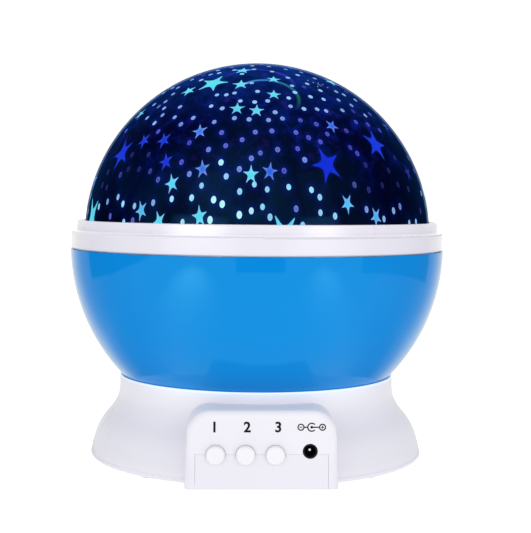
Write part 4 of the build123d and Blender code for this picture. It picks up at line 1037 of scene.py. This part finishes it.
jx, jz, w = 15.4, 20.95, 0.38
mark = arc_stroke(jx, jz, 1.24, 42, 318, w, 26)
mark += [[(jx + 0.42 * cos(2 * pi * k / 16), jz + 0.42 * sin(2 * pi * k / 16)) for k in range(16)][::-1]]
mark += stroke([(jx + 0.42, jz), (jx + 2.4, jz)], w) + stroke([(jx - 1.3, jz), (jx - 2.4, jz)], w)
mark += arc_stroke(jx + 3.35, jz, 0.92, 0, 360, w, 28) + arc_stroke(jx - 3.35, jz, 0.92, 0, 360, w, 28)
mark += stroke([(jx + 2.9, jz), (jx + 3.8, jz)], w * 0.7) + stroke([(jx + 3.35, jz + 0.45), (jx + 3.35, jz - 0.45)], w * 0.7)
mark += stroke([(jx - 3.8, jz), (jx - 2.9, jz)], w * 0.7)
inked("legend_inlet", mark)

# ---------------------------------------------------------------------------
# floor, light and camera
# ---------------------------------------------------------------------------
def stage_floor():
    t = Tree("studio_floor")
    cloud = t.noise(3, 2)
    t.put(t.bsdf, "Base Color", t.mix(t.span(cloud, 0.3, 0.7), (0.40, 0.40, 0.402, 1), (0.41, 0.41, 0.412, 1)))
    t.bsdf.inputs["Roughness"].default_value = 0.85
    t.bsdf.inputs["Specular IOR Level"].default_value = 0.1
    t.bsdf.inputs["Emission Color"].default_value = (1, 1, 1, 1)
    t.bsdf.inputs["Emission Strength"].default_value = 0.86
    verts = [(-4, -0.36, 0), (4, -0.36, 0), (4, 8, 0), (-4, 8, 0)]
    ob = mesh_object("studio_floor", verts, [(0, 1, 2, 3)], [t.mat], smooth=False)
    return ob


stage_floor()

WORLD, SIDES, CEILING, FRONT = 1.02, 0.85, 0.92, 0.54

world = bpy.data.worlds.new("studio")
scene.world = world
world.use_nodes = True
wt = world.node_tree
bg = next(n for n in wt.nodes if n.type == "BACKGROUND")
bg.inputs["Color"].default_value = (1.0, 1.0, 1.0, 1)
direction = wt.nodes.new("ShaderNodeTexCoord").outputs["Generated"]
parts = wt.nodes.new("ShaderNodeSeparateXYZ")
wt.links.new(direction, parts.inputs[0])


def world_span(value, a, b, c, d):
    n = wt.nodes.new("ShaderNodeMapRange")
    n.interpolation_type = "SMOOTHSTEP"
    wt.links.new(value, n.inputs["Value"])
    for k, v in (("From Min", a), ("From Max", b), ("To Min", c), ("To Max", d)):
        n.inputs[k].default_value = v
    return n.outputs["Result"]


def world_math(op, a, b):
    n = wt.nodes.new("ShaderNodeMath")
    n.operation = op
    wt.links.new(a, n.inputs[0])
    wt.links.new(b, n.inputs[1])
    return n.outputs[0]


# an even white room: less light from the ceiling, more from the wall behind the camera
behind = world_span(parts.outputs["Y"], 0.55, 0.90, SIDES, WORLD)
ceiling = world_math("MULTIPLY", behind, world_span(parts.outputs["Z"], 0.25, 0.90, 1.0, CEILING))
wall = world_math("MULTIPLY", world_span(parts.outputs["Y"], -0.15, -0.85, 0.0, FRONT),
                  world_span(parts.outputs["Z"], 0.78, 0.42, 0.0, 1.0))
wt.links.new(world_math("ADD", ceiling, wall), bg.inputs["Strength"])


def dark_card(name, az0, az1, z0, z0_end, z1, radius, colour):
    """A dark flag that only shows in reflections: the unlit room in front of the table."""
    m = bpy.data.materials.new(name)
    m.use_nodes = True
    nt = m.node_tree
    b = next(n for n in nt.nodes if n.type == "BSDF_PRINCIPLED")
    b.inputs["Base Color"].default_value = (0.02, 0.02, 0.025, 1)
    b.inputs["Roughness"].default_value = 0.9
    b.inputs["Emission Color"].default_value = colour
    b.inputs["Emission Strength"].default_value = 1.0
    n = 24
    verts, faces = [], []
    for i in range(n + 1):
        a = radians(az0 + (az1 - az0) * i / n)
        zz = z0 + (z0_end - z0) * max(0.0, i / n - 0.35) / 0.65
        verts += [(radius * sin(a), -radius * cos(a), zz), (radius * sin(a), -radius * cos(a), z1)]
    for i in range(n):
        faces.append((2 * i, 2 * i + 1, 2 * i + 3, 2 * i + 2))
    return reflected_only(mesh_object(name, verts, faces, [m]))


def reflected_only(ob):
    for k in ("camera", "diffuse", "transmission", "volume_scatter", "shadow"):
        setattr(ob, "visible_" + k, False)
    return ob


for i, (a, b, z, z_end, g) in enumerate(((-114, -53, 0.002, 0.050, 0.10), (-13, 13, 0.002, 0.002, 0.10),
                                         (57, 116, 0.006, 0.002, 0.30))):
    dark_card("flag_%d" % i, a, b, z, z_end, 0.105, 0.345, (g, g, g * 1.2, 1))


def gel(name, side, radius, z1):
    """A grey net at the object's side that only dims what the gloss mirrors, densest beside it and open behind."""
    m = bpy.data.materials.new(name)
    m.use_nodes = True
    nt = m.node_tree
    nt.nodes.remove(next(n for n in nt.nodes if n.type == "BSDF_PRINCIPLED"))
    net = nt.nodes.new("ShaderNodeBsdfTransparent")
    at = nt.nodes.new("ShaderNodeAttribute")
    at.attribute_name = "pass"
    nt.links.new(at.outputs["Color"], net.inputs["Color"])
    nt.links.new(net.outputs[0], next(n for n in nt.nodes if n.type == "OUTPUT_MATERIAL").inputs["Surface"])
    n = 60
    verts, faces, open_ = [], [], []
    for i in range(n + 1):
        d = 44 + 116 * i / n
        a = radians(side * d)
        late = 0 if side < 0 else 6
        k = between(d, (44, 1.0), (58, 0.85), (75, 0.42), (84, 0.36), (97 - late, 0.38), (106 - late, 0.46), (117 - late, 0.76),
                    (126 - late, 0.88), (160, 0.88))
        low = between(d, (46, 1.0), (64, 0.45), (90 - late, 0.45), (102 - late, 1.0))
        warm = between(d, (96, 0.0), (116, 1.0))
        for r, z, share in ((0.0595, 0.0005, low), (radius, 0.0005, (1 + low) / 2), (radius, z1, 1.0)):
            verts.append((r * sin(a), -r * cos(a), z))
            open_.append((k * share, k * share * (1 - 0.01 * warm), k * share * (1 - 0.15 * warm)))
    for i in range(n):
        b = 3 * i
        faces += [(b, b + 3, b + 4, b + 1), (b + 1, b + 4, b + 5, b + 2)]
    ob = mesh_object(name, verts, faces, [m])
    col = ob.data.attributes.new("pass", "FLOAT_COLOR", "POINT")
    for i, k in enumerate(open_):
        col.data[i].color = (*k, 1)
    return reflected_only(ob)


gel("net_left", -1, 0.125, 0.085)
gel("net_right", 1, 0.125, 0.085)


def pool(name, az, r, size, strength):
    """Soft glow low in front that shows as a pale patch in the bowl's gloss."""
    m = bpy.data.materials.new(name)
    m.use_nodes = True
    nt = m.node_tree
    nt.nodes.remove(next(n for n in nt.nodes if n.type == "BSDF_PRINCIPLED"))
    clear = nt.nodes.new("ShaderNodeBsdfTransparent")
    glow = nt.nodes.new("ShaderNodeEmission")
    add = nt.nodes.new("ShaderNodeAddShader")
    at = nt.nodes.new("ShaderNodeAttribute")
    at.attribute_name = "glow"
    nt.links.new(at.outputs["Color"], glow.inputs["Color"])
    glow.inputs["Strength"].default_value = strength
    nt.links.new(clear.outputs[0], add.inputs[0])
    nt.links.new(glow.outputs[0], add.inputs[1])
    nt.links.new(add.outputs[0], next(n for n in nt.nodes if n.type == "OUTPUT_MATERIAL").inputs["Surface"])
    verts, faces, val = [(0, 0, 0)], [], [1.0]
    n, rings = 40, 10
    for j in range(1, rings + 1):
        q = j / rings
        for i in range(n):
            a = 2 * pi * i / n
            verts.append((size[0] * q * cos(a), size[1] * q * sin(a), 0))
            val.append((1 - q * q) ** 2)
    faces += [(0, 1 + i, 1 + (i + 1) % n) for i in range(n)]
    for j in range(rings - 1):
        b = 1 + j * n
        faces += [(b + i, b + n + i, b + n + (i + 1) % n, b + (i + 1) % n) for i in range(n)]
    turn = Matrix.Rotation(radians(az), 4, "Z")
    spot = Vector((r * sin(radians(az)), -r * cos(radians(az)), 0.0012))
    ob = mesh_object(name, [turn @ Vector(v) + spot for v in verts], faces, [m])
    col = ob.data.attributes.new("glow", "FLOAT_COLOR", "POINT")
    for i, k in enumerate(val):
        col.data[i].color = (k, k, k, 1)
    return reflected_only(ob)


pool("pool_left", -37, 0.30, (0.075, 0.24), 2.7)
pool("pool_right", 35, 0.30, (0.065, 0.24), 1.9)


def strip(name, az0, az1, z0, z1, radius, strength):
    """A lit strip that shows as a pale bar in the collar's gloss, softer towards its ends."""
    m = bpy.data.materials.new(name)
    m.use_nodes = True
    nt = m.node_tree
    nt.nodes.remove(next(n for n in nt.nodes if n.type == "BSDF_PRINCIPLED"))
    clear = nt.nodes.new("ShaderNodeBsdfTransparent")
    glow = nt.nodes.new("ShaderNodeEmission")
    add = nt.nodes.new("ShaderNodeAddShader")
    at = nt.nodes.new("ShaderNodeAttribute")
    at.attribute_name = "glow"
    nt.links.new(at.outputs["Color"], glow.inputs["Color"])
    glow.inputs["Strength"].default_value = strength
    nt.links.new(clear.outputs[0], add.inputs[0])
    nt.links.new(glow.outputs[0], add.inputs[1])
    nt.links.new(add.outputs[0], next(n for n in nt.nodes if n.type == "OUTPUT_MATERIAL").inputs["Surface"])
    n, rows = 24, 8
    verts, faces, val = [], [], []
    for i in range(n + 1):
        a = radians(az0 + (az1 - az0) * i / n)
        for j in range(rows + 1):
            verts.append((radius * sin(a), -radius * cos(a), z0 + (z1 - z0) * j / rows))
            val.append((1 - abs(2 * i / n - 1) ** 3) * (1 - abs(2 * j / rows - 1) ** 4))
    for i in range(n):
        for j in range(rows):
            b = i * (rows + 1) + j
            faces.append((b, b + 1, b + rows + 2, b + rows + 1))
    ob = mesh_object(name, verts, faces, [m])
    col = ob.data.attributes.new("glow", "FLOAT_COLOR", "POINT")
    for i, k in enumerate(val):
        col.data[i].color = (k, k, k, 1)
    return reflected_only(ob)


strip("strip_left", -58, -18, 0.10, 0.27, 0.80, 7.0)
strip("strip_right", 24, 52, 0.10, 0.27, 0.80, 5.0)


def softbox(name, az, el, dist, w, h, power, target=(0, 0, 0.075)):
    li = bpy.data.lights.new(name, "AREA")
    li.shape = "RECTANGLE"
    li.size, li.size_y = w, h
    li.energy = power
    li.color = (1.0, 1.0, 1.0)
    ob = link_object(bpy.data.objects.new(name, li))
    a, e = radians(az), radians(el)
    t = Vector(target)
    ob.location = t + Vector((sin(a) * cos(e), -cos(a) * cos(e), sin(e))) * dist
    ob.rotation_euler = (t - ob.location).to_track_quat("-Z", "Y").to_euler()
    ob.visible_camera = False
    return ob


softbox("soft_left", -37, 20, 0.80, 0.26, 0.58, 0.335)
softbox("soft_right", 38, 20, 0.80, 0.26, 0.58, 0.30)

cam_data = bpy.data.cameras.new("camera")
cam_data.sensor_width = 36.0
cam_data.lens = 36.0 * 1235.58 / 533
cam_data.clip_end = 100
cam = link_object(bpy.data.objects.new("camera", cam_data))
cam.matrix_world = (Matrix.Rotation(radians(-2.3), 4, "Z")
                    @ Matrix.Translation((0.003045, -0.43948, 0.09225))
                    @ Matrix.Rotation(radians(90 - 3.243), 4, "X")
                    @ Matrix.Rotation(radians(0.492), 4, "Z"))
scene.camera = cam

scene.view_settings.view_transform = "Standard"
scene.view_settings.look = "None"
scene.view_settings.exposure = 0.0
scene.view_settings.gamma = 1.0

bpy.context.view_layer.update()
